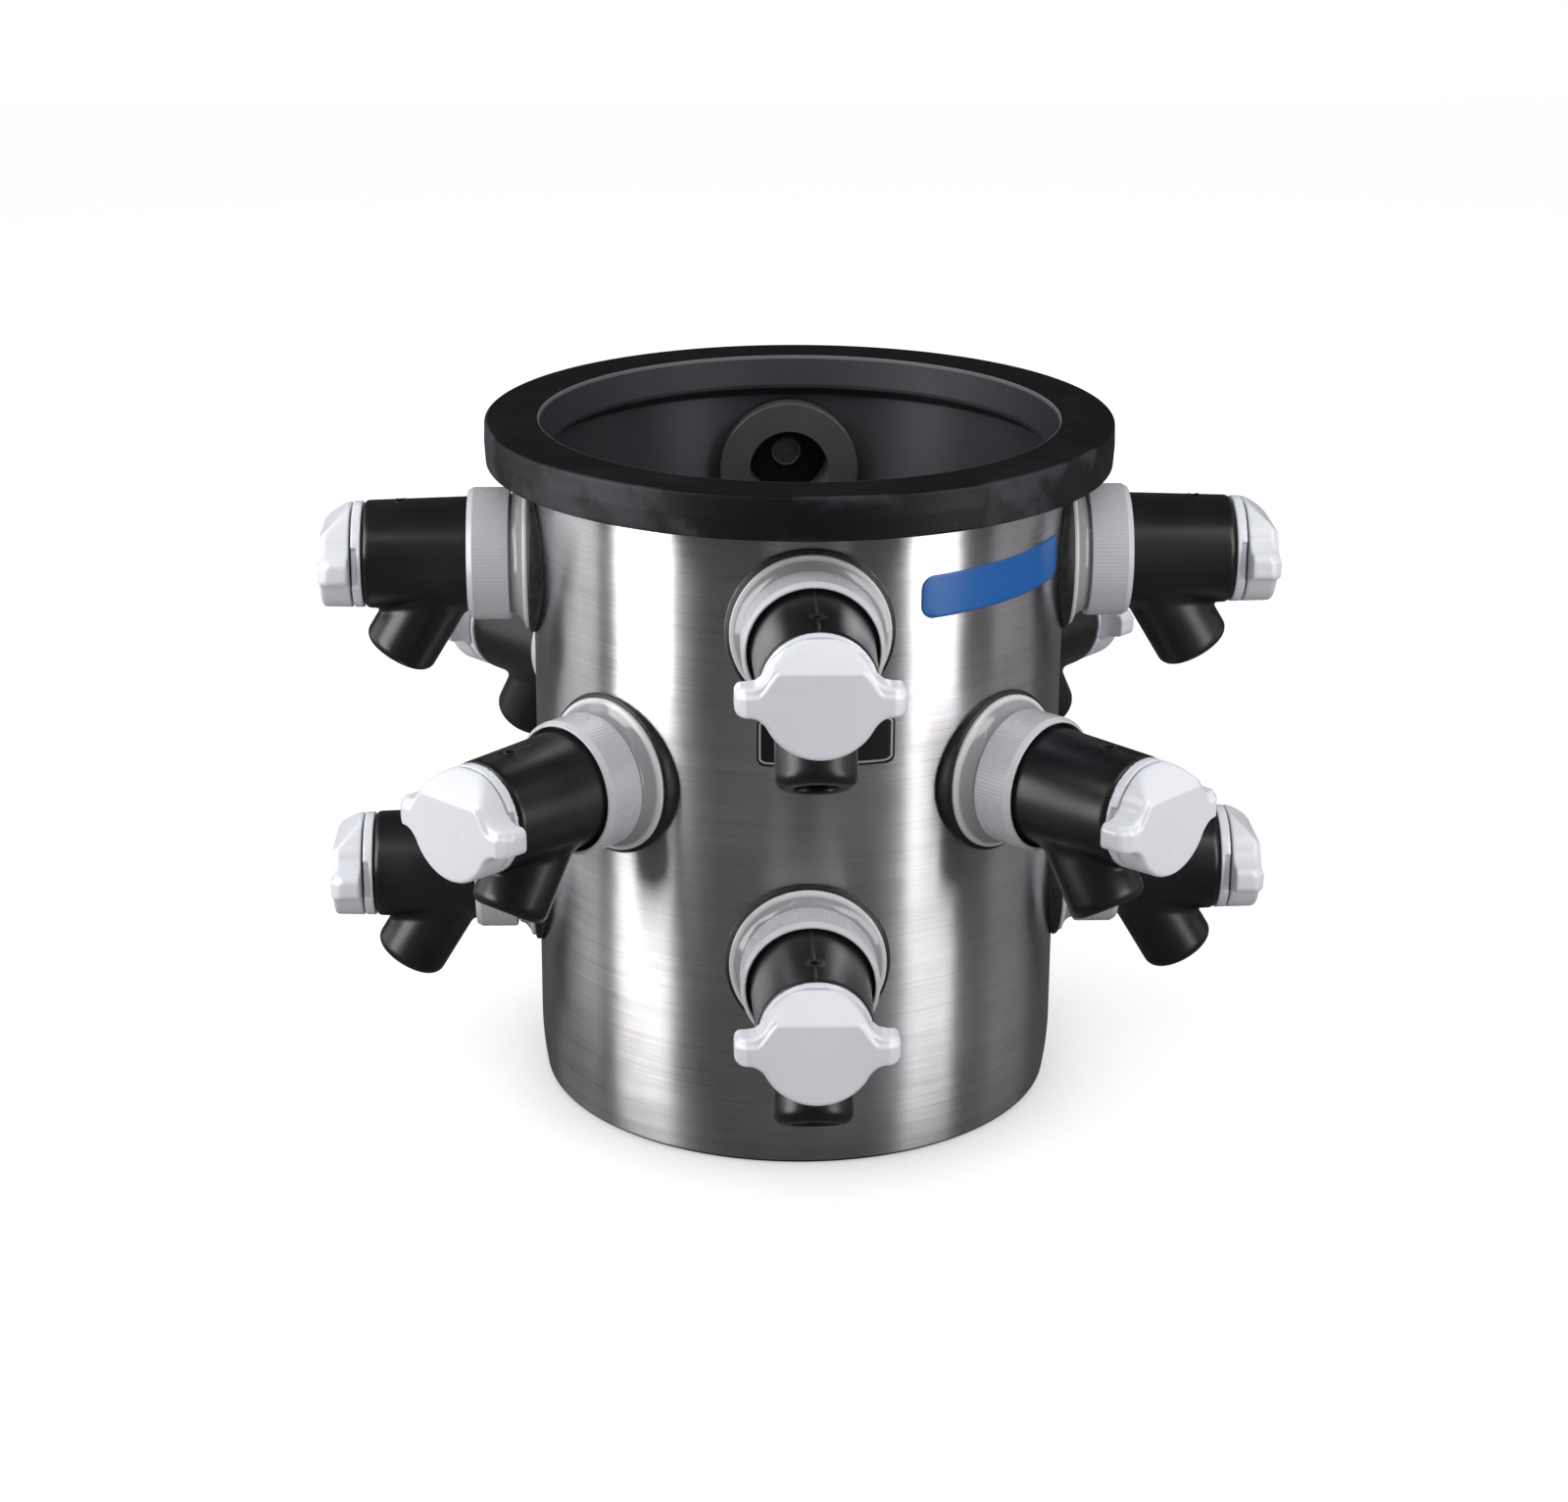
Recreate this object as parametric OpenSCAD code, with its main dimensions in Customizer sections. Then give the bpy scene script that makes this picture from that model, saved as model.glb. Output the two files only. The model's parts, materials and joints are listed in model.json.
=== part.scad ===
// Drying chamber of a freeze dryer: an upright steel drum, open at the top and
// in the base, with a thick rubber rim gasket and twelve rubber flask valves in
// three staggered rows. Sizes are in millimetres. The drum's axis is Z, its base
// stands at z = 0, and the front ports face -Y.
//
// A port is drawn in its own frame and then placed: its z is the distance from
// the drum's axis (named ..._s below), its y points up and its x runs sideways.

/* [Drum] */
// Outside diameter of the drum
drum_od = 241.3; // [225:0.1:295]
// Height of the steel drum from base to rim
drum_h = 311; // [300:1:375]
// Thickness of the steel
drum_wall = 2; // [1.5:0.1:3]
// Outside radius of the bend between wall and base
base_bend_r = 3; // [2.5:0.1:6]
// Height over which the wall draws in above that bend
draw_l = 25; // [10:0.5:32]
// Slope of the wall where it meets the bend
draw_angle = 10; // [3:1:12]
// Diameter of the opening in the base
base_opening_d = 150; // [110:1:190]

/* [Rim gasket] */
// Height of the rim gasket
gasket_h = 19.3; // [16:0.1:24]
// How far the gasket stands out past the drum
gasket_out = 21; // [16:0.5:26]
// Thickness of rubber over the steel rim
gasket_web = 4; // [2.5:0.5:6]
// How far the sealing lip reaches inwards from the drum's inner wall
gasket_lip_in = 7.8; // [5:0.1:12]
// Depth of the lip's edge below the top
gasket_lip_drop = 12.7; // [9:0.1:14]
// Thickness of the lip at its edge
gasket_lip_t = 1.8; // [1:0.1:3]
// Depth of the step between the flat top and the lip
gasket_step = 1.4; // [0.5:0.1:2]
// Width of the flat top inside the rim
gasket_land = 1.5; // [1:0.1:3]
// Rounding of the gasket's outer edges
gasket_edge_r = 3; // [1:0.5:5]

/* [Port rows] */
// Distance of the top row's axes below the steel rim
top_row_drop = 60.2; // [58:0.1:70]
// Height between rows
row_pitch = 75.65; // [74:0.05:85]
// Gap between the rim gasket and the raised back port
raised_port_gap = 0.5; // [0.4:0.1:5]

/* [Port fitting] */
// Diameter of the rubber seal between drum and flange
port_seal_d = 72.6; // [70:0.1:76]
// Thickness of that seal where it is thinnest
port_seal_t = 1.5; // [1:0.1:3]
// Diameter of the flange
flange_d = 68.8; // [62:0.1:72]
// Thickness of the flange's rim
flange_rim_t = 2; // [1:0.1:3]
// Length of the flange from seal to neck
flange_l = 7.45; // [5:0.05:10]
// Diameter of the flange where it meets the neck
flange_hub_d = 56.6; // [55.5:0.1:60]
// Diameter of the neck, seen as a dark groove
neck_d = 54.2; // [53.5:0.1:55]
// Width of the neck
neck_l = 1.4; // [1:0.1:3]
// Diameter of the threaded spigot that the collar nut screws on
spigot_d = 53; // [50:0.1:53]
// Length of the spigot
spigot_l = 9; // [6:0.5:10]
// Bore of the fitting
port_bore_d = 38.2; // [30:0.1:42]
// Diameter of the threaded tube that passes through the drum
port_tube_d = 48; // [45:0.1:50]
// Radial gap between that tube and the hole in the drum
port_hole_gap = 0.5; // [0.2:0.1:1]
// Thickness of the inner washer at its thickest
inner_washer_t = 6; // [5.5:0.1:8]
// Diameter of the ring nut inside the drum
ring_nut_d = 67.3; // [60:0.1:70]
// Thickness of the ring nut
ring_nut_t = 8; // [6:0.5:10]
// Thickness of the ring nut's lip over the end of the tube
ring_nut_lip_t = 2; // [1:0.5:3]

/* [Collar nut] */
// Length of the collar nut
collar_l = 18.8; // [17:0.1:24]
// Thickness of the collar around the valve's base
collar_wall = 1.4; // [1.2:0.1:4]
// How far the collar's lip overlaps the valve's base
collar_lip_over = 0.8; // [0.5:0.1:1.2]
// Length of the collar's lip
collar_lip_l = 3.4; // [2:0.1:4]
// Bevel on the collar's outer end, along the axis
collar_bevel_l = 2.4; // [1:0.1:3]
// Bevel on the collar's outer end, towards the axis
collar_bevel_w = 1.3; // [0.5:0.1:1.5]

/* [Valve body] */
// Length of the rubber body from its base to the knob
body_l = 56.7; // [54:0.1:72]
// Diameter of the base that the collar clamps
body_base_d = 57.2; // [57:0.1:69]
// Gap between the collar's mouth and the body
body_mouth_gap = 1.75; // [0.5:0.05:2.5]
// How much larger in radius the body is than the knob where they meet
body_step = 0.3; // [0:0.1:1]
// Rounding of the body's outer end
body_edge_r = 2.2; // [1:0.1:4]
// Thickness of the web that closes the body's base
web_t = 3; // [2:0.5:4]
// Hole in that web
web_hole_d = 14; // [10:0.5:18]
// Diameter of the branch that takes a flask adapter
branch_d = 34.2; // [30:0.1:42]
// Bore of the branch's socket, for a three-quarter inch adapter
branch_bore_d = 19.05; // [15:0.05:23]
// Depth of that socket, where the adapter meets its stop
socket_l = 33; // [28:0.5:33]
// Lead-in at the socket's mouth
socket_lead = 0.6; // [0.3:0.1:1.5]
// Length of the sloping stop at its inner end
socket_stop_l = 1; // [0.5:0.1:2]
// Diameter of the way from the socket into the stem
branch_way_d = 14; // [11:0.5:14.5]
// Angle between the branch and the vertical
branch_tilt = 31; // [25:1:35]
// Length of the branch from the valve's axis
branch_l = 55.3; // [50:0.1:66]
// Rounding of the branch's end
branch_edge_r = 5; // [2:0.5:5]
// Gap between the collar and the branch
branch_collar_gap = 4; // [2:0.5:6]
// Diameter of the vent hole
vent_d = 4; // [2:0.5:5]
// Distance of the vent hole from the body's outer end
vent_back = 16.7; // [12:0.1:20]
// Diameter of the raised rim around the vent hole
vent_rim_d = 7.2; // [6:0.1:10]
// Height of that rim
vent_rim_h = 0.6; // [0.3:0.1:1]
// Width of the mould line along the top of the body
mould_line_w = 1; // [0.6:0.1:2]
// Height of the mould line
mould_line_h = 0.3; // [0.2:0.1:0.6]

/* [Knob] */
// Diameter of the knob
knob_d = 48.4; // [46:0.1:50.5]
// Length of the knob
knob_l = 19; // [17:0.5:24]
// Gap between knob and body
knob_gap = 0.5; // [0.3:0.1:1]
// Span over both wings
wing_span = 68.6; // [62:0.1:82]
// Height of a wing
wing_h = 12; // [10:0.1:15]
// Length of a wing along the axis
wing_l = 13.5; // [10:0.5:15]
// Radius of the hollow between wing and knob
wing_fillet_r = 5; // [3:0.5:7]
// Length of the slope at each wing's end
wing_slope_l = 5; // [2:0.5:6]
// Drop of that slope
wing_slope_drop = 3.4; // [1:0.1:4]
// Depth of the finger relief behind each wing
relief_depth = 3; // [1:0.5:4]
// Width of the knob's rim behind the finger relief
rim_w = 1.7; // [1:0.1:3]
// Height of the bevel's lower edge above the axis; the bevel marks the vent side
bevel_y = 12.6; // [9:0.1:16]
// Angle of the bevel to the knob's face
bevel_angle = 42; // [30:1:50]

/* [Stem] */
// Diameter of the stem
stem_d = 26; // [22:0.1:28]
// Radial running clearance of the stem in the body
stem_clear = 0.08; // [0.02:0.01:0.1]
// Bore of the stem, open to the drum
stem_bore_d = 13; // [10:0.5:14]
// Diameter of the stem's side port
side_port_d = 11; // [8:0.5:12]
// Diameter of the slanted hole that joins branch and vent
vent_way_d = 3; // [2:0.5:4]
// Height of the ridge that snaps into the body
ridge_h = 1.2; // [0.6:0.1:2]
// Length of the ridge
ridge_l = 3; // [2:0.5:4]
// Distance of the ridge from the body's base
ridge_from_base = 7; // [6:0.5:8]

/* [Blank labels] */
// Width of the blue label around the drum
blue_label_w = 96; // [60:1:100]
// Height of the blue label
blue_label_h = 19; // [12:0.5:22]
// Corner radius of the blue label
blue_label_r = 6; // [2:0.5:6]
// Angle of the blue label's centre from the front, towards the right
blue_label_angle = 46; // [44:1:47]
// Distance of the blue label's centre below the rim
blue_label_drop = 49; // [44:0.5:52]
// Width of the black label under the top front port
black_label_w = 60; // [40:1:64]
// Height of the black label
black_label_h = 22; // [10:0.5:24]
// Corner radius of the black label
black_label_r = 3.5; // [1:0.5:5]
// Angle of the black label's centre from the front, towards the right
black_label_angle = 3.5; // [0:0.5:4]
// Gap between the top front port's seal and the black label
black_label_gap = 2.5; // [1:0.5:6]
// Thickness of both labels
label_t = 0.4; // [0.2:0.1:0.6]

/* [Hidden] */
$fn = 96;
over = 1; // how far a cut runs past what it cuts
contact = 0.05; // gap between curved faces that seat on each other
lap = 0.3; // gap between a trimmed seal and the rim gasket
nut_bevel = 1; // bevel on the ring nut's inner face
branch_end_gap = 2; // least distance from the branch to the body's outer end
port_lead = 1; // how far the side port opens ahead of the branch's mouth
vent_inset = 5; // how far the slanted hole opens inside the branch's mouth

// drum and gasket
drum_r = drum_od / 2;
drum_in_r = drum_r - drum_wall;
gasket_top_z = drum_h + gasket_web;
gasket_low_z = gasket_top_z - gasket_h;

// port stations, measured from the drum's axis
seat_s = drum_r + port_seal_t;
flange_end_s = seat_s + flange_l;
collar_s = flange_end_s + neck_l;
spigot_end_s = collar_s + spigot_l;
collar_end_s = collar_s + collar_l;
lip_s = collar_end_s - collar_lip_l;
lip_held_s = lip_s + collar_lip_l / 3;
washer_s = drum_in_r - inner_washer_t;
nut_in_s = washer_s - ring_nut_t;
tube_in_s = nut_in_s + ring_nut_lip_t + contact;
web_end_s = spigot_end_s + web_t;
stem_end_s = web_end_s + knob_gap;
ridge_s = spigot_end_s + ridge_from_base;

// port radii
seal_r = port_seal_d / 2;
collar_r = body_base_d / 2 + contact + collar_wall;
mouth_r = body_base_d / 2 - collar_lip_over;
body_root_r = mouth_r - body_mouth_gap;
knob_r = knob_d / 2;
body_end_r = knob_r + body_step;
stem_r = stem_d / 2;
bore_r = stem_r + stem_clear;
branch_r = branch_d / 2;

// the branch leaves the valve's axis here, so that it clears the collar
branch_s = collar_end_s + branch_collar_gap - collar_r * tan(branch_tilt) + branch_r / cos(branch_tilt);
// and its outer side meets the body here, which the body's end has to lie past
branch_out_s = branch_s + body_end_r * tan(branch_tilt) + branch_r / cos(branch_tilt);
body_end_s = max(spigot_end_s + body_l, branch_out_s + branch_end_gap);
knob_s = body_end_s + knob_gap;
face_s = knob_s + knob_l;
wing_back_s = face_s - wing_l;
vent_s = body_end_s - vent_back;
// centre of the branch's mouth in the stem bore
branch_mouth_s = branch_s + stem_r * tan(branch_tilt);
branch_mouth_half = branch_way_d / 2 / cos(branch_tilt);
side_port_s = branch_mouth_s - branch_mouth_half + side_port_d / 2 - port_lead;
vent_low_s = branch_mouth_s + branch_mouth_half - vent_inset;

// rows and ports: [name, angle from the front, height]
SQUARE_SIDES = ["front", "right", "back", "left"];
CORNER_SIDES = ["front_right", "back_right", "back_left", "front_left"];
top_row_z = drum_h - top_row_drop;
raised_port_z = gasket_low_z - raised_port_gap - max(flange_d / 2, collar_r);
function row(level, sides, start, z) = [for (i = [0:3]) [str(level, "_", sides[i]), start + 90 * i, z]];
function raised(port) = port[0] == "top_back" ? [port[0], port[1], raised_port_z] : port;
TOP_ROW = [for (port = row("top", SQUARE_SIDES, 0, top_row_z)) raised(port)];
MID_ROW = row("mid", CORNER_SIDES, 45, top_row_z - row_pitch);
LOW_ROW = row("low", SQUARE_SIDES, 0, top_row_z - 2 * row_pitch);
PORTS = concat(TOP_ROW, MID_ROW, LOW_ROW);

DRUM_NODES = ["drum", "rim_gasket", "port_seals", "inner_washers", "ring_nuts", "blue_label", "black_label"];
PORT_NODES = ["port_fitting_", "collar_nut_", "valve_body_", "knob_"];

// ---- helpers

// Points of an arc about [x, y], from angle a0 to a1
function arc(x, y, r, a0, a1, n = 8) =
    [for (i = [0:n]) let (a = a0 + (a1 - a0) * i / n) [x + r * cos(a), y + r * sin(a)]];

// Puts a port's own frame in its place on the drum
module at_port(port) translate([0, 0, port[2]]) rotate([0, 0, port[1]]) rotate([90, 0, 0]) children();

// A cylinder along the drum's axis, as seen from a port's frame
module drum_axis_rod(r) rotate([90, 0, 0]) cylinder(r = r, h = 2 * port_seal_d, center = true, $fn = 180);

// Half section of a cup whose wall draws in a little above the bend at its base
module cup_section(r, h, bend) {
    draw_r = bend + draw_l / sin(draw_angle);
    bend_x = r - draw_r + draw_l / tan(draw_angle);
    polygon(concat(
        [[0, 0]],
        arc(bend_x, bend, bend, -90, -draw_angle),
        arc(r - draw_r, bend + draw_l, draw_r, -0.8 * draw_angle, 0, 4),
        [[r, h], [0, h]]
    ));
}

// A plate with round corners, bent around the drum and resting on it
module bent_plate(w, h, corner_r, angle, z) {
    plate_r = drum_r + contact;
    half_w = plate_r * sin(w / 2 / drum_r * 180 / PI);
    translate([0, 0, z]) rotate([0, 0, angle]) intersection() {
        difference() {
            cylinder(r = plate_r + label_t, h = h + 2 * over, center = true, $fn = 180);
            cylinder(r = plate_r, h = h + 4 * over, center = true, $fn = 180);
        }
        rotate([90, 0, 0]) linear_extrude(drum_od) union() {
            square([2 * half_w - 2 * corner_r, h], center = true);
            square([2 * half_w, h - 2 * corner_r], center = true);
            for (x = [-1, 1], y = [-1, 1])
                translate([x * (half_w - corner_r), y * (h / 2 - corner_r)]) circle(corner_r);
        }
    }
}

// ---- drum and what is fixed to it

module drum() {
    color([0.72, 0.72, 0.74]) difference() {
        rotate_extrude($fn = 180) difference() {
            cup_section(drum_r, drum_h, base_bend_r);
            translate([0, drum_wall])
                cup_section(drum_in_r, drum_h, max(base_bend_r - drum_wall, drum_wall / 4));
            translate([0, -over]) square([base_opening_d / 2, drum_wall + 2 * over]);
        }
        for (port = PORTS)
            at_port(port) cylinder(d = port_tube_d + 2 * port_hole_gap, h = drum_r + over);
    }
}

// An upside-down U over the rim: broad outer leg, thin inner leg with a lip
module rim_gasket() {
    out_r = drum_r + gasket_out;
    lip_r = drum_in_r - gasket_lip_in;
    land_r = drum_in_r - gasket_land;
    lip_z = gasket_top_z - gasket_lip_drop;
    edge_x = out_r - gasket_edge_r;
    color([0.2, 0.2, 0.22]) rotate_extrude($fn = 180) difference() {
        polygon(concat(
            [
                [land_r, gasket_low_z], [lip_r, lip_z - gasket_lip_t], [lip_r, lip_z],
                [land_r - gasket_step / 2, gasket_top_z - gasket_step],
                [land_r, gasket_top_z - gasket_step], [land_r, gasket_top_z]
            ],
            arc(edge_x, gasket_top_z - gasket_edge_r, gasket_edge_r, 90, 0),
            arc(edge_x, gasket_low_z + gasket_edge_r, gasket_edge_r, 0, -90)
        ));
        // the slot that the steel rim fills
        translate([drum_in_r - contact, gasket_low_z - over])
            square([drum_wall + 2 * contact, drum_h - gasket_low_z + over]);
    }
}

// Rubber saddles between the drum and the flanges
module port_seals() {
    trim_z = gasket_low_z - lap;
    color([0.13, 0.13, 0.14]) for (port = PORTS) at_port(port) difference() {
        cylinder(r = seal_r, h = seat_s);
        drum_axis_rod(drum_r + contact);
        cylinder(d = port_tube_d + 2 * contact, h = seat_s + over);
        if (port[2] + seal_r > trim_z)
            translate([-seal_r - over, trim_z - port[2], 0])
                cube([2 * (seal_r + over), seal_r, seat_s + over]);
    }
}

// Rubber saddles between the drum and the ring nuts
module inner_washers() {
    color([0.1, 0.1, 0.1]) for (port = PORTS) at_port(port) intersection() {
        translate([0, 0, washer_s]) difference() {
            cylinder(d = ring_nut_d, h = inner_washer_t);
            translate([0, 0, -over]) cylinder(d = port_tube_d + 2 * contact, h = inner_washer_t + 2 * over);
        }
        drum_axis_rod(drum_in_r - contact);
    }
}

module ring_nuts() {
    nut_r = ring_nut_d / 2;
    hole_r = port_bore_d / 2;
    thread_r = port_tube_d / 2 + contact;
    color([0.24, 0.25, 0.27]) for (port = PORTS) at_port(port) rotate_extrude() polygon([
        [hole_r, nut_in_s], [nut_r - nut_bevel, nut_in_s], [nut_r, nut_in_s + nut_bevel], [nut_r, washer_s],
        [thread_r, washer_s], [thread_r, tube_in_s - contact], [hole_r, tube_in_s - contact]
    ]);
}

module blue_label() {
    color([0.04, 0.29, 0.62])
        bent_plate(blue_label_w, blue_label_h, blue_label_r, blue_label_angle, drum_h - blue_label_drop);
}

module black_label() {
    color([0.05, 0.05, 0.06])
        bent_plate(black_label_w, black_label_h, black_label_r, black_label_angle,
            top_row_z - seal_r - black_label_gap - black_label_h / 2);
}

// ---- the parts of one port

// Flanged tube: it passes through the drum, and its spigot takes the collar nut
module port_fitting(port) {
    bore = port_bore_d / 2;
    color([0.84, 0.84, 0.86]) at_port(port) rotate_extrude() polygon([
        [bore, tube_in_s], [port_tube_d / 2, tube_in_s], [port_tube_d / 2, seat_s],
        [flange_d / 2, seat_s], [flange_d / 2, seat_s + flange_rim_t],
        [flange_hub_d / 2, flange_end_s], [neck_d / 2, flange_end_s],
        [neck_d / 2, collar_s], [spigot_d / 2, collar_s],
        [spigot_d / 2, spigot_end_s], [bore, spigot_end_s]
    ]);
}

// Ring nut that holds the valve's base against the spigot
module collar_nut(port) {
    thread_r = spigot_d / 2 + contact;
    socket_r = body_base_d / 2 + contact;
    color([0.8, 0.8, 0.83]) at_port(port) rotate_extrude() polygon([
        [thread_r, collar_s], [collar_r, collar_s], [collar_r, collar_end_s - collar_bevel_l],
        [collar_r - collar_bevel_w, collar_end_s], [mouth_r, collar_end_s],
        [mouth_r, lip_s], [socket_r, lip_s],
        [socket_r, spigot_end_s], [thread_r, spigot_end_s]
    ]);
}

// Half section of the rubber body without its bores
module body_section() {
    base_r = body_base_d / 2;
    polygon(concat(
        [
            [0, spigot_end_s], [base_r, spigot_end_s], [base_r, lip_s],
            [mouth_r - contact, lip_s], [mouth_r - contact, lip_held_s], [body_root_r, lip_held_s]
        ],
        arc(body_end_r - body_edge_r, body_end_s - body_edge_r, body_edge_r, 0, 90),
        [[0, body_end_s]]
    ));
}

// Half section of the branch, from the valve's axis to its rounded end
module branch_section() {
    polygon(concat(
        [[0, 0], [branch_r, 0]],
        arc(branch_r - branch_edge_r, branch_l - branch_edge_r, branch_edge_r, 0, 90),
        [[0, branch_l]]
    ));
}

// Half section of the hollow branch: the way, the sloping stop, the socket and its lead-in
module socket_section() {
    way = branch_way_d / 2;
    bore = branch_bore_d / 2;
    stop_z = branch_l - socket_l;
    polygon([
        [0, 0], [way, 0], [way, stop_z - socket_stop_l], [bore, stop_z], [bore, branch_l - socket_lead],
        [bore + socket_lead + over, branch_l + over], [0, branch_l + over]
    ]);
}

// Puts the branch's own axis (z) in place: down and outwards
module along_branch() translate([0, 0, branch_s]) rotate([90 - branch_tilt, 0, 0]) children();

// Raised mould line along the top of the body, following its taper
module mould_line() {
    run = body_end_s - body_edge_r - collar_end_s;
    slope = atan((body_root_r - body_end_r) / (body_end_s - lip_s));
    translate([-mould_line_w / 2, body_root_r - over, collar_end_s]) rotate([slope, 0, 0])
        cube([mould_line_w, over + mould_line_h, run]);
}

module valve_body(port) {
    color([0.1, 0.1, 0.11]) at_port(port) difference() {
        union() {
            rotate_extrude() body_section();
            along_branch() rotate_extrude() branch_section();
            translate([0, 0, vent_s]) rotate([-90, 0, 0])
                cylinder(d = vent_rim_d, h = body_end_r + vent_rim_h);
            mould_line();
        }
        translate([0, 0, web_end_s]) cylinder(r = bore_r, h = body_end_s - web_end_s + over);
        translate([0, 0, spigot_end_s - over]) cylinder(d = web_hole_d, h = web_t + 2 * over);
        translate([0, 0, ridge_s - knob_gap]) cylinder(r = bore_r + ridge_h, h = ridge_l + 2 * knob_gap);
        along_branch() rotate_extrude() socket_section();
        translate([0, 0, vent_s]) rotate([-90, 0, 0]) cylinder(d = vent_d, h = body_root_r + over, $fn = 32);
    }
}

// Outline of the knob with its two wings and the hollows beside them
module knob_outline() {
    reach = sqrt(pow(knob_r + wing_fillet_r, 2) - pow(wing_h / 2 + wing_fillet_r, 2));
    circle(knob_r);
    square([wing_span, wing_h], center = true);
    for (x = [0, 1], y = [0, 1]) mirror([x, 0]) mirror([0, y]) difference() {
        polygon([[0, 0], [reach, 0], [reach, wing_h / 2 + wing_fillet_r]]);
        translate([reach, wing_h / 2 + wing_fillet_r]) circle(wing_fillet_r);
    }
}

// Half section of stem, snap ridge and the knob's rim
module stem_section() {
    polygon([
        [0, stem_end_s], [stem_r, stem_end_s], [stem_r, ridge_s],
        [stem_r + ridge_h, ridge_s], [stem_r + ridge_h, ridge_s + ridge_l], [stem_r, ridge_s + ridge_l],
        [stem_r, knob_s], [knob_r, knob_s], [knob_r, wing_back_s], [0, wing_back_s]
    ]);
}

// Stem and knob without the ways through them
module knob_blank() {
    relief_h = wing_h + wing_fillet_r;
    difference() {
        union() {
            rotate_extrude() stem_section();
            translate([0, 0, wing_back_s]) linear_extrude(wing_l) knob_outline();
        }
        // bevel that shows which way the valve is turned
        translate([-wing_span, bevel_y, face_s]) rotate([-bevel_angle, 0, 0])
            cube([2 * wing_span, 2 * knob_d, knob_l]);
        for (side = [0, 1]) mirror([side, 0, 0]) {
            // sloping end of the wing
            translate([wing_span / 2 - wing_slope_l, -wing_h, face_s])
                rotate([0, atan(wing_slope_drop / wing_slope_l), 0])
                cube([2 * wing_slope_l, 2 * wing_h, wing_l]);
            // finger relief behind the wing
            translate([knob_r - relief_depth, -relief_h / 2, knob_s + rim_w])
                cube([2 * relief_depth, relief_h, wing_back_s - knob_s - rim_w]);
        }
    }
}

// Knob and hollow stem in one piece. At rest the bevel is up and the slanted
// hole joins branch and vent; half a turn brings the side port to the branch.
module knob(port) {
    bore_l = side_port_s + side_port_d / 2 + over - stem_end_s;
    vent_slant = atan((vent_s - vent_low_s) / stem_d);
    color([0.84, 0.85, 0.88]) at_port(port) difference() {
        knob_blank();
        translate([0, 0, stem_end_s - over]) cylinder(d = stem_bore_d, h = bore_l + over);
        translate([0, 0, side_port_s]) rotate([-90, 0, 0]) cylinder(d = side_port_d, h = stem_d);
        translate([0, 0, (vent_s + vent_low_s) / 2]) rotate([vent_slant - 90, 0, 0])
            cylinder(d = vent_way_d, h = 2 * stem_d, center = true, $fn = 32);
    }
}

drum();
rim_gasket();
port_seals();
inner_washers();
ring_nuts();
blue_label();
black_label();
for (port = PORTS) {
    port_fitting(port);
    collar_nut(port);
    valve_body(port);
    knob(port);
}
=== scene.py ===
import json
import math

import bpy
import numpy as np
from mathutils import Matrix, Vector

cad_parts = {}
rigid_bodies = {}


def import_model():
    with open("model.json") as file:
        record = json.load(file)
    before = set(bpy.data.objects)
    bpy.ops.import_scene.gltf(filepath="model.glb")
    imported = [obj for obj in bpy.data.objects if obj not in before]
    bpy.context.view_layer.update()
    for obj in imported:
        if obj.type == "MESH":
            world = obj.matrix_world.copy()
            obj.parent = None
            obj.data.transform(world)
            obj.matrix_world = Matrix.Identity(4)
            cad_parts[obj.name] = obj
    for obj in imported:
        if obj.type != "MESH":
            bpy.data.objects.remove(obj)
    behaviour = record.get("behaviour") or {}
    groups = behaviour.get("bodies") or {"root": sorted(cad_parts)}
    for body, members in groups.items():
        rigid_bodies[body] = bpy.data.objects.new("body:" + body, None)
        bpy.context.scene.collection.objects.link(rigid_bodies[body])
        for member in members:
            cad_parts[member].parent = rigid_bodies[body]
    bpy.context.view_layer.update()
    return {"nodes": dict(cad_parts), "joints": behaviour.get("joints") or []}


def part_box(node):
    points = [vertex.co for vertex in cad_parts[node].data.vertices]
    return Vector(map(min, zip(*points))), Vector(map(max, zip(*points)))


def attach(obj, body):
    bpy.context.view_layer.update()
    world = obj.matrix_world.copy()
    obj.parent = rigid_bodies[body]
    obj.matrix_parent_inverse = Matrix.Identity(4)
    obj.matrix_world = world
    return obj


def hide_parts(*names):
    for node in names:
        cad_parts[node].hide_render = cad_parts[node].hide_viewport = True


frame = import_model()
mm = 0.001
print("frame loaded with", len(frame["nodes"]), "nodes")


# ---- camera and studio

cameraSet = {
    "place": (-0.06398, -1.4319, 0.6705),
    "heading": 1.391,  # degrees to the right of +Y
    "down": 19.135,
    "roll": 0.011,
    "lens": 75.03,
    "shift": (0.0318, -0.0253),
}


def addCamera(c):
    data = bpy.data.cameras.new("camera")
    data.sensor_width = 36
    data.lens = c["lens"]
    data.shift_x, data.shift_y = c["shift"]
    data.clip_end = 50
    eye = bpy.data.objects.new("camera", data)
    turn = Matrix.Rotation(math.radians(-c["heading"]), 4, "Z")
    tip = Matrix.Rotation(math.radians(90 - c["down"]), 4, "X")
    roll = Matrix.Rotation(math.radians(c["roll"]), 4, "Z")
    eye.matrix_world = Matrix.Translation(c["place"]) @ turn @ tip @ roll
    bpy.context.scene.collection.objects.link(eye)
    bpy.context.scene.camera = eye


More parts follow.
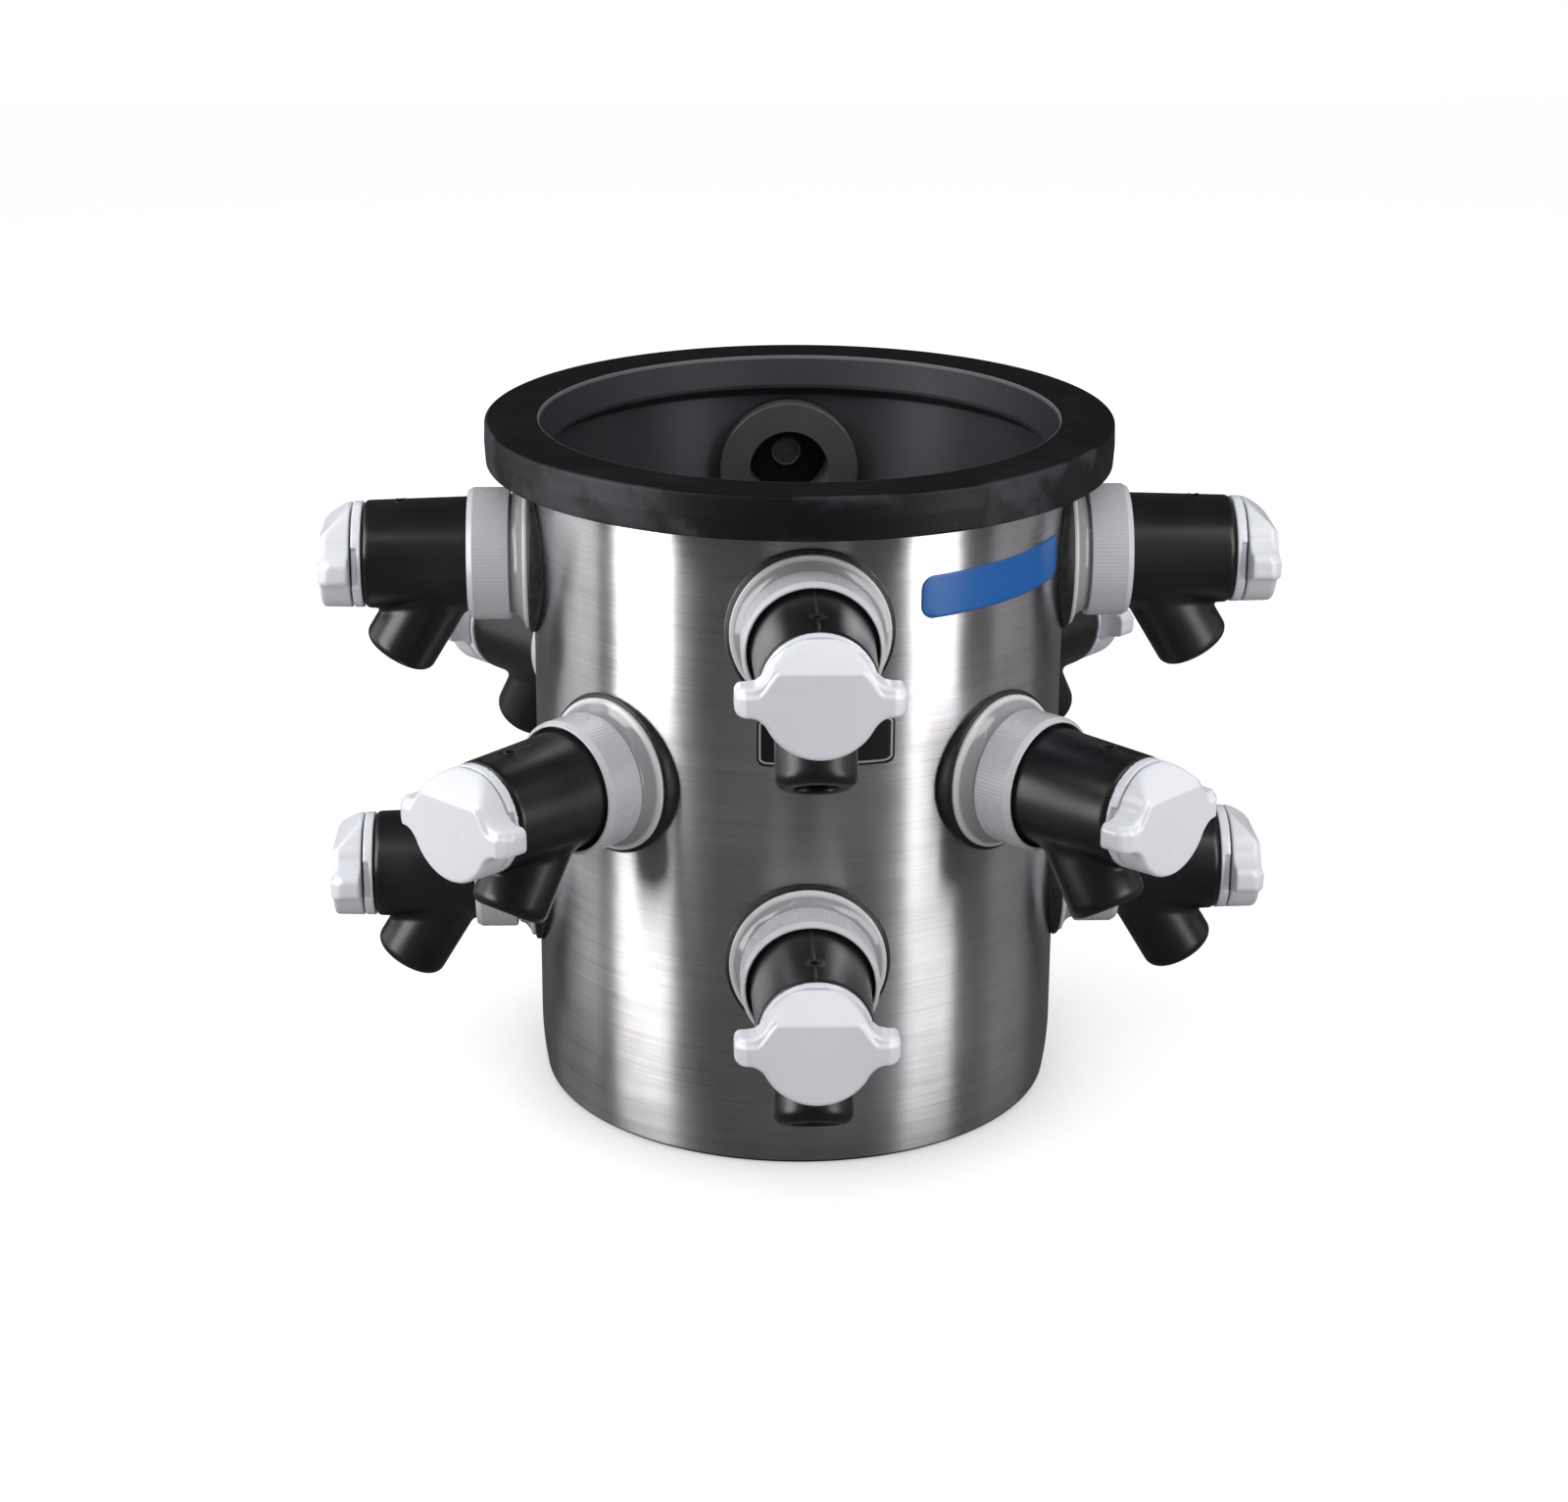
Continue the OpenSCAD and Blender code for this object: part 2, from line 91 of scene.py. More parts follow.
# each lamp: degrees to the right of the camera's side, degrees up, distance, size, watts, what it serves
studioSet = {
    "aim": (0, 0, 0.17),
    "lamps": {
        "leftBox": (-71, 16, 0.85, (0.34, 1.0), 3.4, "light"),
        "leftBand": (-65, 16, 0.85, (0.42, 1.0), 9.2, "gloss"),
        "leftSoft": (-104, 14, 1.0, (0.55, 1.0), 2.8, "both"),
        "rightBox": (57, 16, 0.85, (0.36, 1.0), 2.8, "light"),
        "rightBand": (54, 16, 0.85, (0.34, 1.0), 5.6, "gloss"),
        "rightSoft": (98, 14, 1.0, (0.5, 1.0), 0.8, "gloss"),
        "topBox": (0, 62, 1.7, (1.8, 1.2), 6.2, "light"),
        "topGloss": (0, 62, 1.7, (1.8, 1.2), 2.6, "gloss"),
        "leftStrip": (-24, 50, 1.7, (0.5, 0.07), 1.0, "both"),
        "rightStrip": (30, 52, 1.7, (0.4, 0.07), 0.8, "both"),
        "backBox": (180, 55, 1.7, (1.6, 1.0), 3.5, "light"),
    },
    "worldFill": 0.66,  # what lights the object from all round
    "worldInMetal": 0.07,  # what gloss reflects from all round
    "floorColour": 0.36,
    "floorInMetal": 0.10,
    "contact": (0.06, 0.62),  # reach of the soft shadow at the foot, and its level
    "floorGlow": 0.74,  # keeps the floor white to the camera and its shadow light
    "floorGlowInMetal": 0.03,
    "floorSize": 6.0,
}


def nodeTree(owner):
    owner.use_nodes = True
    tree = owner.node_tree
    tree.nodes.clear()
    return tree


def addNode(tree, kind, settings=None, inputs=None):
    node = tree.nodes.new("ShaderNode" + kind)
    for key, value in (settings or {}).items():
        setattr(node, key, value)
    for key, value in (inputs or {}).items():
        if isinstance(value, bpy.types.NodeSocket):
            tree.links.new(value, node.inputs[key])
        else:
            node.inputs[key].default_value = value
    return node


def math2(tree, operation, a, b=0.5, clamp=False):
    node = tree.nodes.new("ShaderNodeMath")
    node.operation = operation
    node.use_clamp = clamp
    for socket, value in zip(node.inputs, (a, b)):
        if isinstance(value, bpy.types.NodeSocket):
            tree.links.new(value, socket)
        else:
            socket.default_value = value
    return node.outputs[0]


def times(tree, a, b):
    return math2(tree, "MULTIPLY", a, b)


def seenLevel(tree, straight, mirrored, diffuse):
    # a level for each kind of ray: straight from the camera or through glass, mirrored, or scattered
    path = addNode(tree, "LightPath")
    direct = math2(tree, "MAXIMUM", path.outputs["Is Camera Ray"], path.outputs["Is Transmission Ray"])
    inMetal = path.outputs["Is Glossy Ray"]
    plain = {"data_type": "FLOAT"}
    level = addNode(tree, "Mix", plain, {0: inMetal, 2: diffuse, 3: mirrored}).outputs[0]
    return addNode(tree, "Mix", plain, {0: direct, 2: level, 3: straight}).outputs[0]


def addStudio(s):
    world = bpy.data.worlds.new("studio")
    bpy.context.scene.world = world
    tree = nodeTree(world)
    level = seenLevel(tree, 1.0, s["worldInMetal"], s["worldFill"])
    sky = addNode(tree, "Background", None, {"Color": (1, 1, 1, 1), "Strength": level})
    out = addNode(tree, "OutputWorld", None, {"Surface": sky.outputs[0]})
    half = s["floorSize"] / 2
    corners = [(-half, -half, 0), (half, -half, 0), (half, half, 0), (-half, half, 0)]
    mesh = bpy.data.meshes.new("floor")
    mesh.from_pydata(corners, [], [(0, 1, 2, 3)])
    floor = bpy.data.objects.new("floor", mesh)
    bpy.context.scene.collection.objects.link(floor)
    paint = bpy.data.materials.new("paleFloor")
    tree = nodeTree(paint)
    reach, dark = s["contact"]
    clear = addNode(tree, "AmbientOcclusion", {"samples": 12}, {"Distance": reach}).outputs["AO"]
    shade = addNode(tree, "MapRange", {"interpolation_type": "SMOOTHSTEP"},
                    {"Value": clear, "From Min": 0.2, "From Max": 1.0, "To Min": dark, "To Max": 1.0})
    shade = shade.outputs[0]
    seenGrey = times(tree, shade, s["floorColour"])
    grey = seenLevel(tree, seenGrey, s["floorInMetal"], s["floorColour"])
    matte = addNode(tree, "BsdfDiffuse", None, {"Color": grey})
    level = seenLevel(tree, times(tree, shade, s["floorGlow"]), s["floorGlowInMetal"], 0.0)
    glow = addNode(tree, "Emission", None, {"Color": (1, 1, 1, 1), "Strength": level})
    both = addNode(tree, "AddShader", None, {0: matte.outputs[0], 1: glow.outputs[0]})
    addNode(tree, "OutputMaterial", None, {"Surface": both.outputs[0]})
    mesh.materials.append(paint)
    aim = Vector(s["aim"])
    start = math.radians(cameraSet["heading"])
    for name, (side, rise, distance, size, watts, serves) in s["lamps"].items():
        data = bpy.data.lights.new(name, "AREA")
        data.shape = "RECTANGLE"
        data.size, data.size_y = size
        data.energy = watts
        lamp = bpy.data.objects.new(name, data)
        lamp.visible_diffuse = serves != "gloss"
        lamp.visible_glossy = serves != "light"
        turn, up = math.radians(side) - start, math.radians(rise)
        away = Vector((math.sin(turn) * math.cos(up), -math.cos(turn) * math.cos(up), math.sin(up)))
        facing = away.to_track_quat("Z", "Y").to_matrix().to_4x4()
        lamp.matrix_world = Matrix.Translation(aim + away * distance) @ facing
        bpy.context.scene.collection.objects.link(lamp)
    bpy.context.scene.view_settings.view_transform = "Standard"


addCamera(cameraSet)
addStudio(studioSet)
print("camera and studio ready")


# ---- shader groups shared by several materials

def newGroup(name, inputs, outputs):
    tree = bpy.data.node_groups.new(name, "ShaderNodeTree")
    for label, kind, value in inputs:
        socket = tree.interface.new_socket(label, in_out="INPUT", socket_type=kind)
        socket.default_value = value
    for label, kind in outputs:
        tree.interface.new_socket(label, in_out="OUTPUT", socket_type=kind)
    return tree, tree.nodes.new("NodeGroupInput"), tree.nodes.new("NodeGroupOutput")


def scaledPoint(tree, point, scale):
    return addNode(tree, "VectorMath", {"operation": "MULTIPLY"}, {0: point, 1: scale}).outputs[0]


def noise(tree, point, scale, detail=2.0, rough=0.5):
    node = addNode(tree, "TexNoise", None,
                   {"Vector": point, "Scale": scale, "Detail": detail, "Roughness": rough})
    return node.outputs["Fac"]


def remap(tree, value, low, high, toLow=0.0, toHigh=1.0, smooth=False):
    node = addNode(tree, "MapRange", {"interpolation_type": "SMOOTHSTEP" if smooth else "LINEAR"},
                   {"Value": value, "From Min": low, "From Max": high, "To Min": toLow, "To Max": toHigh})
    return node.outputs["Result"]


def buildBrushedGroup():
    # streaks that run round the Z axis: noise that changes fast with height and slowly across
    tree, given, out = newGroup("brushedRound",
                                [("Point", "NodeSocketVector", (0, 0, 0)),
                                 ("Fineness", "NodeSocketFloat", 1.0)],
                                [("Streaks", "NodeSocketFloat"), ("Bands", "NodeSocketFloat"),
                                 ("Smears", "NodeSocketFloat")])
    point = scaledPoint(tree, given.outputs["Point"], (9, 9, 1500))
    fine = noise(tree, point, given.outputs["Fineness"], 3.0, 0.6)
    wide = noise(tree, scaledPoint(tree, given.outputs["Point"], (3, 3, 190)), 1.0, 2.0)
    cloud = noise(tree, scaledPoint(tree, given.outputs["Point"], (14, 14, 9)), 1.0, 3.0)
    for label, value in (("Streaks", fine), ("Bands", wide), ("Smears", cloud)):
        tree.links.new(value, out.inputs[label])
    return tree


def buildGrainGroup():
    # moulded skin: a fine pitted grain and a slow unevenness
    tree, given, out = newGroup("mouldedSkin",
                                [("Point", "NodeSocketVector", (0, 0, 0)),
                                 ("Grain", "NodeSocketFloat", 900.0),
                                 ("Waves", "NodeSocketFloat", 40.0)],
                                [("Height", "NodeSocketFloat"), ("Patches", "NodeSocketFloat")])
    fine = noise(tree, given.outputs["Point"], given.outputs["Grain"], 2.0, 0.6)
    slow = noise(tree, given.outputs["Point"], given.outputs["Waves"], 3.0, 0.5)
    height = math2(tree, "ADD", times(tree, fine, 0.35), times(tree, slow, 0.65))
    tree.links.new(height, out.inputs["Height"])
    tree.links.new(slow, out.inputs["Patches"])
    return tree


def buildDustGroup():
    # pale specks: the cores of scattered cells, thinned out by a slow noise
    tree, given, out = newGroup("dustSpecks",
                                [("Point", "NodeSocketVector", (0, 0, 0)),
                                 ("Spread", "NodeSocketFloat", 260.0),
                                 ("Amount", "NodeSocketFloat", 0.5)],
                                [("Specks", "NodeSocketFloat")])
    cells = addNode(tree, "TexVoronoi", {"feature": "F1"},
                    {"Vector": given.outputs["Point"], "Scale": given.outputs["Spread"]})
    core = remap(tree, cells.outputs["Distance"], 0.1, 0.02)
    chance = noise(tree, given.outputs["Point"], times(tree, given.outputs["Spread"], 0.6), 1.0)
    few = math2(tree, "GREATER_THAN", chance, math2(tree, "SUBTRACT", 1.1, given.outputs["Amount"]))
    tree.links.new(times(tree, core, few), out.inputs["Specks"])
    return tree


groups = {"brushed": buildBrushedGroup(), "skin": buildGrainGroup(), "dust": buildDustGroup()}


# ---- materials

def startMaterial(name, colour, roughness, **plain):
    paint = bpy.data.materials.new(name)
    tree = nodeTree(paint)
    shader = addNode(tree, "BsdfPrincipled", None,
                     {"Base Color": (*colour, 1), "Roughness": roughness, **plain})
    addNode(tree, "OutputMaterial", None, {"Surface": shader.outputs[0]})
    point = addNode(tree, "TexCoord").outputs["Object"]
    return paint, tree, shader, point


def useGroup(tree, group, inputs):
    return addNode(tree, "Group", {"node_tree": group}, inputs)


def mixColour(tree, factor, a, b):
    node = addNode(tree, "Mix", {"data_type": "RGBA"}, {0: factor})
    for index, value in ((6, a), (7, b)):
        if isinstance(value, bpy.types.NodeSocket):
            tree.links.new(value, node.inputs[index])
        else:
            node.inputs[index].default_value = (*value, 1)
    return node.outputs[2]


def spotOn(tree, local, station):
    # in a port's own frame: x, y, and the distance from the line that rises from the axis at this station
    x, y, z = addNode(tree, "SeparateXYZ", None, {0: local}).outputs
    along = math2(tree, "SUBTRACT", z, station)
    squares = math2(tree, "ADD", math2(tree, "POWER", x, 2.0), math2(tree, "POWER", along, 2.0))
    return x, y, math2(tree, "SQRT", squares)


def axisDistance(tree, point):
    flat = scaledPoint(tree, point, (1, 1, 0))
    return addNode(tree, "VectorMath", {"operation": "LENGTH"}, {0: flat}).outputs["Value"]


def localPoint(tree):
    # the point in its port's own frame, kept with the mesh
    return addNode(tree, "Attribute", {"attribute_name": "local"}).outputs["Vector"]


def inSpot(tree, spot, radius, upper):
    return times(tree, math2(tree, "LESS_THAN", spot, radius), upper)


def addSkin(tree, point, s):
    # the skin's height, its slow patches and the roughness that follows them
    skin = useGroup(tree, groups["skin"], {"Point": point, "Grain": s["grain"], "Waves": s["waves"]})
    height, patches = skin.outputs
    return height, patches, remap(tree, patches, 0.3, 0.7, *s["roughness"])


def finishPaint(tree, shader, colour, rough, height, depth):
    tree.links.new(colour, shader.inputs["Base Color"])
    tree.links.new(rough, shader.inputs["Roughness"])
    bump = addNode(tree, "Bump", None, {"Height": height, "Distance": depth, "Strength": 1.0})
    tree.links.new(bump.outputs[0], shader.inputs["Normal"])


steelSet = {
    "dark": (0.43, 0.412, 0.43),
    "light": (0.71, 0.695, 0.715),
    "roughness": (0.27, 0.36),
    "stretch": 1.0,  # how much longer a reflection is up and down than round the drum
    # inside: the colour of the painted shade on the inner wall and floor
    "inside": (0.058, 0.051, 0.062),
    "insideFrom": 0.03,  # height above which the inner wall is painted dark as shade and made dull
    "baseFrom": 0.001,  # height of the inner floor's mask
    "baseIn": 0.003,
    "insideRough": 0.6,
    "insideBare": 0.75,  # how much less the inside shines as metal
    # the foot: a thin band painted dark, a painted contact shadow under the drum's edge
    "baseEdge": 0.0018,
    "baseDark": 0.85,
    "grooves": 0.00002,
    "dents": 0.00012,
}


def steelMaterial(s, innerRadius):
    paint, tree, shader, point = startMaterial("brushedSteel", s["light"], 0.35, Metallic=1.0)
    shader.inputs["Anisotropic"].default_value = s["stretch"]
    shader.inputs["Anisotropic Rotation"].default_value = 0.25
    around = addNode(tree, "Tangent", {"direction_type": "RADIAL", "axis": "Z"})
    tree.links.new(around.outputs[0], shader.inputs["Tangent"])
    brushed = useGroup(tree, groups["brushed"], {"Point": point, "Fineness": 1.0})
    streaks, bands, smears = (brushed.outputs[i] for i in range(3))
    tone = math2(tree, "ADD", times(tree, streaks, 0.3), times(tree, bands, 0.1))
    tone = math2(tree, "ADD", tone, times(tree, smears, 0.6), clamp=True)
    colour = mixColour(tree, remap(tree, tone, 0.35, 0.65), s["dark"], s["light"])
    # painted shade: the inside is painted dark and made dull, by a mask on the distance from the drum's axis
    far = axisDistance(tree, point)
    height = addNode(tree, "SeparateXYZ", None, {0: point}).outputs["Z"]
    wall = inSpot(tree, far, innerRadius + 0.0005, math2(tree, "GREATER_THAN", height, s["insideFrom"]))
    base = inSpot(tree, far, innerRadius - s["baseIn"], math2(tree, "GREATER_THAN", height, s["baseFrom"]))
    inner = math2(tree, "MAXIMUM", wall, base)
    colour = mixColour(tree, inner, colour, s["inside"])
    # painted shade: a thin dark band at the foot stands in for the contact shadow under the drum
    edge = times(tree, math2(tree, "LESS_THAN", height, s["baseEdge"]), s["baseDark"])
    colour = mixColour(tree, edge, colour, s["inside"])
    scatter = math2(tree, "ADD", times(tree, streaks, 0.5), times(tree, smears, 0.5))
    rough = remap(tree, scatter, 0.35, 0.65, *s["roughness"])
    rough = math2(tree, "MAXIMUM", rough, times(tree, inner, s["insideRough"]))
    bare = math2(tree, "SUBTRACT", 1.0, times(tree, inner, s["insideBare"]))
    tree.links.new(bare, shader.inputs["Metallic"])
    dents = noise(tree, scaledPoint(tree, point, (40, 40, 90)), 1.0, 2.0)
    relief = math2(tree, "ADD", times(tree, streaks, s["grooves"] / s["dents"]), dents)
    finishPaint(tree, shader, colour, rough, relief, s["dents"])
    return paint


speckColour = (0.12, 0.12, 0.125)
# the black of a hole's painted shade
holeShadeColour = (0.001, 0.001, 0.001)
rubberSet = {
    "valve": {"colour": (0.0062, 0.006, 0.0072), "worn": (0.012, 0.0118, 0.013), "roughness": (0.30, 0.40),
              "grain": 900.0, "waves": 26.0, "depth": 0.00006, "dust": 0.1, "spread": 420.0, "gloss": 0.46,
              "seam": 0.0006, "ventAt": 0.180, "ventRim": 0.0036, "vent": 0.0021,
              "mark": (0.030, 0.030, 0.033), "markRise": 0.00025},
    "gasket": {"colour": (0.0042, 0.0041, 0.0056), "worn": (0.0095, 0.0096, 0.0115),
               "roughness": (0.42, 0.58), "grain": 700.0, "waves": 34.0, "depth": 0.00022,
               "dust": 0.46, "spread": 330.0, "gloss": 0.2,
               # lip: the sloped lip's lighter tone, a painted light
               "lip": (0.026, 0.027, 0.032), "film": (0.026, 0.028, 0.033),
               # edge: a painted highlight along the top's inner edge
               "edge": (0.15, 0.155, 0.165), "edgeWide": 0.0006},
    "seal": {"colour": (0.008, 0.008, 0.0085), "worn": (0.02, 0.02, 0.021), "roughness": (0.4, 0.6),
             "grain": 650.0, "waves": 300.0, "depth": 0.0004, "dust": 0.3, "spread": 500.0, "gloss": 0.4},
}


def rubberMaterial(name, s, lipRadius=None, sideRadius=None):
    paint, tree, shader, point = startMaterial(name, s["colour"], 0.5, **{"Specular IOR Level": s["gloss"]})
    height, patches, rough = addSkin(tree, point, s)
    dust = useGroup(tree, groups["dust"], {"Point": point, "Spread": s["spread"], "Amount": s["dust"]})
    worn = remap(tree, patches, 0.45, 0.75)
    colour = mixColour(tree, worn, s["colour"], s["worn"])
    if "film" in s:
        # a pale film in patches on the outer side; the sloped lip is painted lighter than the top, a painted
        # light where it catches the lamps
        far = axisDistance(tree, point)
        side = remap(tree, far, sideRadius - 0.0008, sideRadius, smooth=True)
        patch = remap(tree, patches, 0.46, 0.62, smooth=True)
        colour = mixColour(tree, times(tree, side, patch), colour, s["film"])
        colour = mixColour(tree, math2(tree, "LESS_THAN", far, lipRadius), colour, s["lip"])
        # a painted highlight along the sharp edge between the flat top and the lip
        offEdge = math2(tree, "ABSOLUTE", math2(tree, "SUBTRACT", far, lipRadius))
        edgeHighlight = remap(tree, offEdge, s["edgeWide"], 0.4 * s["edgeWide"], smooth=True)
        colour = mixColour(tree, edgeHighlight, colour, s["edge"])
    colour = mixColour(tree, dust.outputs[0], colour, speckColour)
    if "seam" in s:
        # a mould line along the top, broken by the vent's hole and its raised rim; both are raised by a bump
        # and painted paler, a painted highlight on their ridges
        x, y, spot = spotOn(tree, localPoint(tree), s["ventAt"])
        upper = math2(tree, "GREATER_THAN", y, 0.015)
        seam = remap(tree, math2(tree, "ABSOLUTE", x), s["seam"], 0.4 * s["seam"], smooth=True)
        seam = times(tree, seam, math2(tree, "GREATER_THAN", spot, s["ventRim"]))
        rim = remap(tree, spot, s["ventRim"], s["ventRim"] - 0.0004, smooth=True)
        marks = times(tree, math2(tree, "ADD", seam, rim), upper)
        # painted highlight: the mould line and vent rim are painted paler
        colour = mixColour(tree, times(tree, marks, 0.6), colour, s["mark"])
        height = math2(tree, "ADD", height, times(tree, marks, s["markRise"] / s["depth"]))
        # painted shade: the vent's hole is painted black down its sides
        hole = inSpot(tree, spot, s["vent"], upper)
        colour = mixColour(tree, hole, colour, holeShadeColour)
        rough = math2(tree, "MAXIMUM", rough, hole)
    finishPaint(tree, shader, colour, rough, height, s["depth"])
    return paint


plasticSet = {
    "knob": {"colour": (0.70, 0.711, 0.757), "shade": (0.675, 0.686, 0.732), "roughness": (0.2, 0.28),
             "grain": 500.0, "waves": 30.0, "depth": 0.00003, "wayAt": 0.180, "way": 0.003,
             "wayColour": (0.004, 0.004, 0.004)},
    "collar": {"colour": (0.57, 0.575, 0.60), "shade": (0.535, 0.54, 0.565), "roughness": (0.22, 0.3),
               "grain": 700.0, "waves": 60.0, "depth": 0.00004},
    "fitting": {"colour": (0.64, 0.645, 0.665), "shade": (0.61, 0.615, 0.635), "roughness": (0.09, 0.15),
                "grain": 500.0, "waves": 40.0, "depth": 0.00003, "dish": (0.0332, 0.0318), "dishShade": 0.8,
                "dishDark": 0.35},
    "nut": {"colour": (0.075, 0.075, 0.082), "shade": (0.06, 0.06, 0.066), "roughness": (0.38, 0.5),
            "grain": 600.0, "waves": 60.0, "depth": 0.00006},
}


def plasticMaterial(name, s):
    paint, tree, shader, point = startMaterial(name, s["colour"], 0.3)
    height, patches, rough = addSkin(tree, point, s)
    colour = mixColour(tree, remap(tree, patches, 0.3, 0.75, smooth=True), s["colour"], s["shade"])
    if "dish" in s:
        # painted shade: the hollow of the flange is painted darker inside its rim, standing in for the shade
        # and dark reflection there
        far = axisDistance(tree, localPoint(tree))
        shade = times(tree, remap(tree, far, *s["dish"], smooth=True), s["dishShade"])
        colour = mixColour(tree, shade, colour, tuple(s["dishDark"] * c for c in s["colour"]))
    if "way" in s:
        # painted shade: a black spot on the stem where the way through it lies below the body's vent stands
        # in for the dark hole
        _, y, spot = spotOn(tree, localPoint(tree), s["wayAt"])
        hole = inSpot(tree, spot, s["way"], math2(tree, "GREATER_THAN", y, 0.005))
        colour = mixColour(tree, hole, colour, s["wayColour"])
    finishPaint(tree, shader, colour, rough, height, s["depth"])
    return paint


labelSet = {
    "blue": {"colour": (0.003, 0.1, 0.37), "line": (0.003, 0.1, 0.37)},
    "black": {"colour": (0.006, 0.006, 0.007), "line": (0.33, 0.33, 0.34)},
}
filmSet = {
    "lineAt": (0.045, 0.085),  # share of the label's height, from its edge inwards
    "roughness": (0.26, 0.36),
    "gloss": 0.35,
    "grain": 800.0,
    "waves": 50.0,
    "depth": 0.00003,
}


def labelMaterial(name, s, film):
    gloss = {"Specular IOR Level": film["gloss"]}
    paint, tree, shader, point = startMaterial(name, s["colour"], 0.3, **gloss)
    edge = addNode(tree, "Attribute", {"attribute_name": "edge"}).outputs["Fac"]
    near, far = film["lineAt"]
    line = inSpot(tree, edge, far, math2(tree, "GREATER_THAN", edge, near))
    height, _, rough = addSkin(tree, point, film)
    colour = mixColour(tree, line, s["colour"], s["line"])
    finishPaint(tree, shader, colour, rough, height, film["depth"])
    return paint


drumWall = 2.0
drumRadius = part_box("drum")[1].x / mm
drumInner = drumRadius - drumWall
gasketLand = drumInner - 1.5
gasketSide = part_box("rim_gasket")[1].x / mm - 1.2
paints = {
    "steel": steelMaterial(steelSet, drumInner * mm),
    "valve": rubberMaterial("valveRubber", rubberSet["valve"]),
    "gasket": rubberMaterial("gasketRubber", rubberSet["gasket"], gasketLand * mm, gasketSide * mm),
    "seal": rubberMaterial("sealRubber", rubberSet["seal"]),
    "knob": plasticMaterial("knobPlastic", plasticSet["knob"]),
    "collar": plasticMaterial("collarPlastic", plasticSet["collar"]),
    "fitting": plasticMaterial("fittingPlastic", plasticSet["fitting"]),
    "nut": plasticMaterial("nutPlastic", plasticSet["nut"]),
    "blue": labelMaterial("blueLabel", labelSet["blue"], filmSet),
    "black": labelMaterial("blackLabel", labelSet["black"], filmSet),
}
print("materials ready:", len(paints))


# ---- places: each port's own frame, with x to the side, y up and z outwards from the drum's axis

def readPorts():
    found = []
    for joint in frame["joints"]:
        out = np.array(joint["axis"])
        found.append({
            "name": joint["name"].removeprefix("turn_"),
            "out": out,
            "side": np.array((-out[1], out[0], 0.0)),
            "height": joint["pos_m"][2] / mm,
            "body": joint["child"],
        })
    return found


ports = readPorts()
fixedBody = frame["joints"][0]["parent"]


def stations(kind):
    # nearest and furthest station of a piece of the top front port, and its radius
    low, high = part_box(kind + "_top_front")
    return -high.y / mm, -low.y / mm, (high.x - low.x) / 2 / mm


def atPort(points, port):
    x, y, z = np.moveaxis(points, -1, 0)
    up = np.array((0.0, 0.0, 1.0))
    return (x[..., None] * port["side"] + (y + port["height"])[..., None] * up + z[..., None] * port["out"])


# ---- surfaces

def gridFaces(rows, cols, closeRows=True, closeCols=True):
    i = np.arange(rows if closeRows else rows - 1)[:, None]
    j = np.arange(cols if closeCols else cols - 1)[None, :]
    nextI = (i + 1) % rows
    nextJ = (j + 1) % cols
    quads = np.stack([i * cols + j, nextI * cols + j, nextI * cols + nextJ, i * cols + nextJ], -1)
    return quads.reshape(-1, 4)


def signedVolume(points, faces):
    a, b, c = points[faces[:, 0]], points[faces[:, 1]], points[faces[:, 2]]
    total = np.einsum("ij,ij->", np.cross(a, b), c)
    if faces.shape[1] == 4:
        d = points[faces[:, 3]]
        total += np.einsum("ij,ij->", np.cross(a, c), d)
    return total


def makeMesh(name, points, faceSets):
    # points in millimetres; each face set is an array of triangles or quads, turned so that it faces outwards
    total = sum(signedVolume(points, f) for f in faceSets)
    if total < 0:
        faceSets = [f[:, ::-1] for f in faceSets]
    loops = np.concatenate([f.ravel() for f in faceSets]).astype(np.int32)
    sizes = np.concatenate([np.full(len(f), f.shape[1]) for f in faceSets])
    starts = np.concatenate([[0], np.cumsum(sizes)[:-1]]).astype(np.int32)
    mesh = bpy.data.meshes.new(name)
    mesh.vertices.add(len(points))
    mesh.vertices.foreach_set("co", (points * mm).astype(np.float32).ravel())
    mesh.loops.add(len(loops))
    mesh.loops.foreach_set("vertex_index", loops)
    mesh.polygons.add(len(sizes))
    mesh.polygons.foreach_set("loop_start", starts)
    mesh.polygons.foreach_set("use_smooth", np.ones(len(sizes), dtype=bool))
    mesh.update(calc_edges=True)
    mesh.validate()
    return mesh


def addPiece(name, points, faceSets, paint, slot, body, *nodes, local=None):
    mesh = makeMesh(name, points, faceSets)
    mesh.materials.append(paints[paint])
    piece = bpy.data.objects.new(name, mesh)
    bpy.context.scene.collection.objects.link(piece)
    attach(piece, body)
    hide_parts(*nodes)
    if local is not None:
        # where each point lies in its port's own frame, in metres
        mesh.attributes.new("local", "FLOAT_VECTOR", "POINT").data.foreach_set(
            "vector", (local * mm).astype(np.float32).ravel())
    return piece


def joined(parts):
    # several (points, faces) shells as one set of points and one of faces
    shift, allPoints, allFaces = 0, [], []
    for points, faces in parts:
        if signedVolume(points, faces) < 0:
            faces = faces[:, ::-1]
        allPoints.append(points)
        allFaces.append(faces + shift)
        shift += len(points)
    return np.concatenate(allPoints), np.concatenate(allFaces)


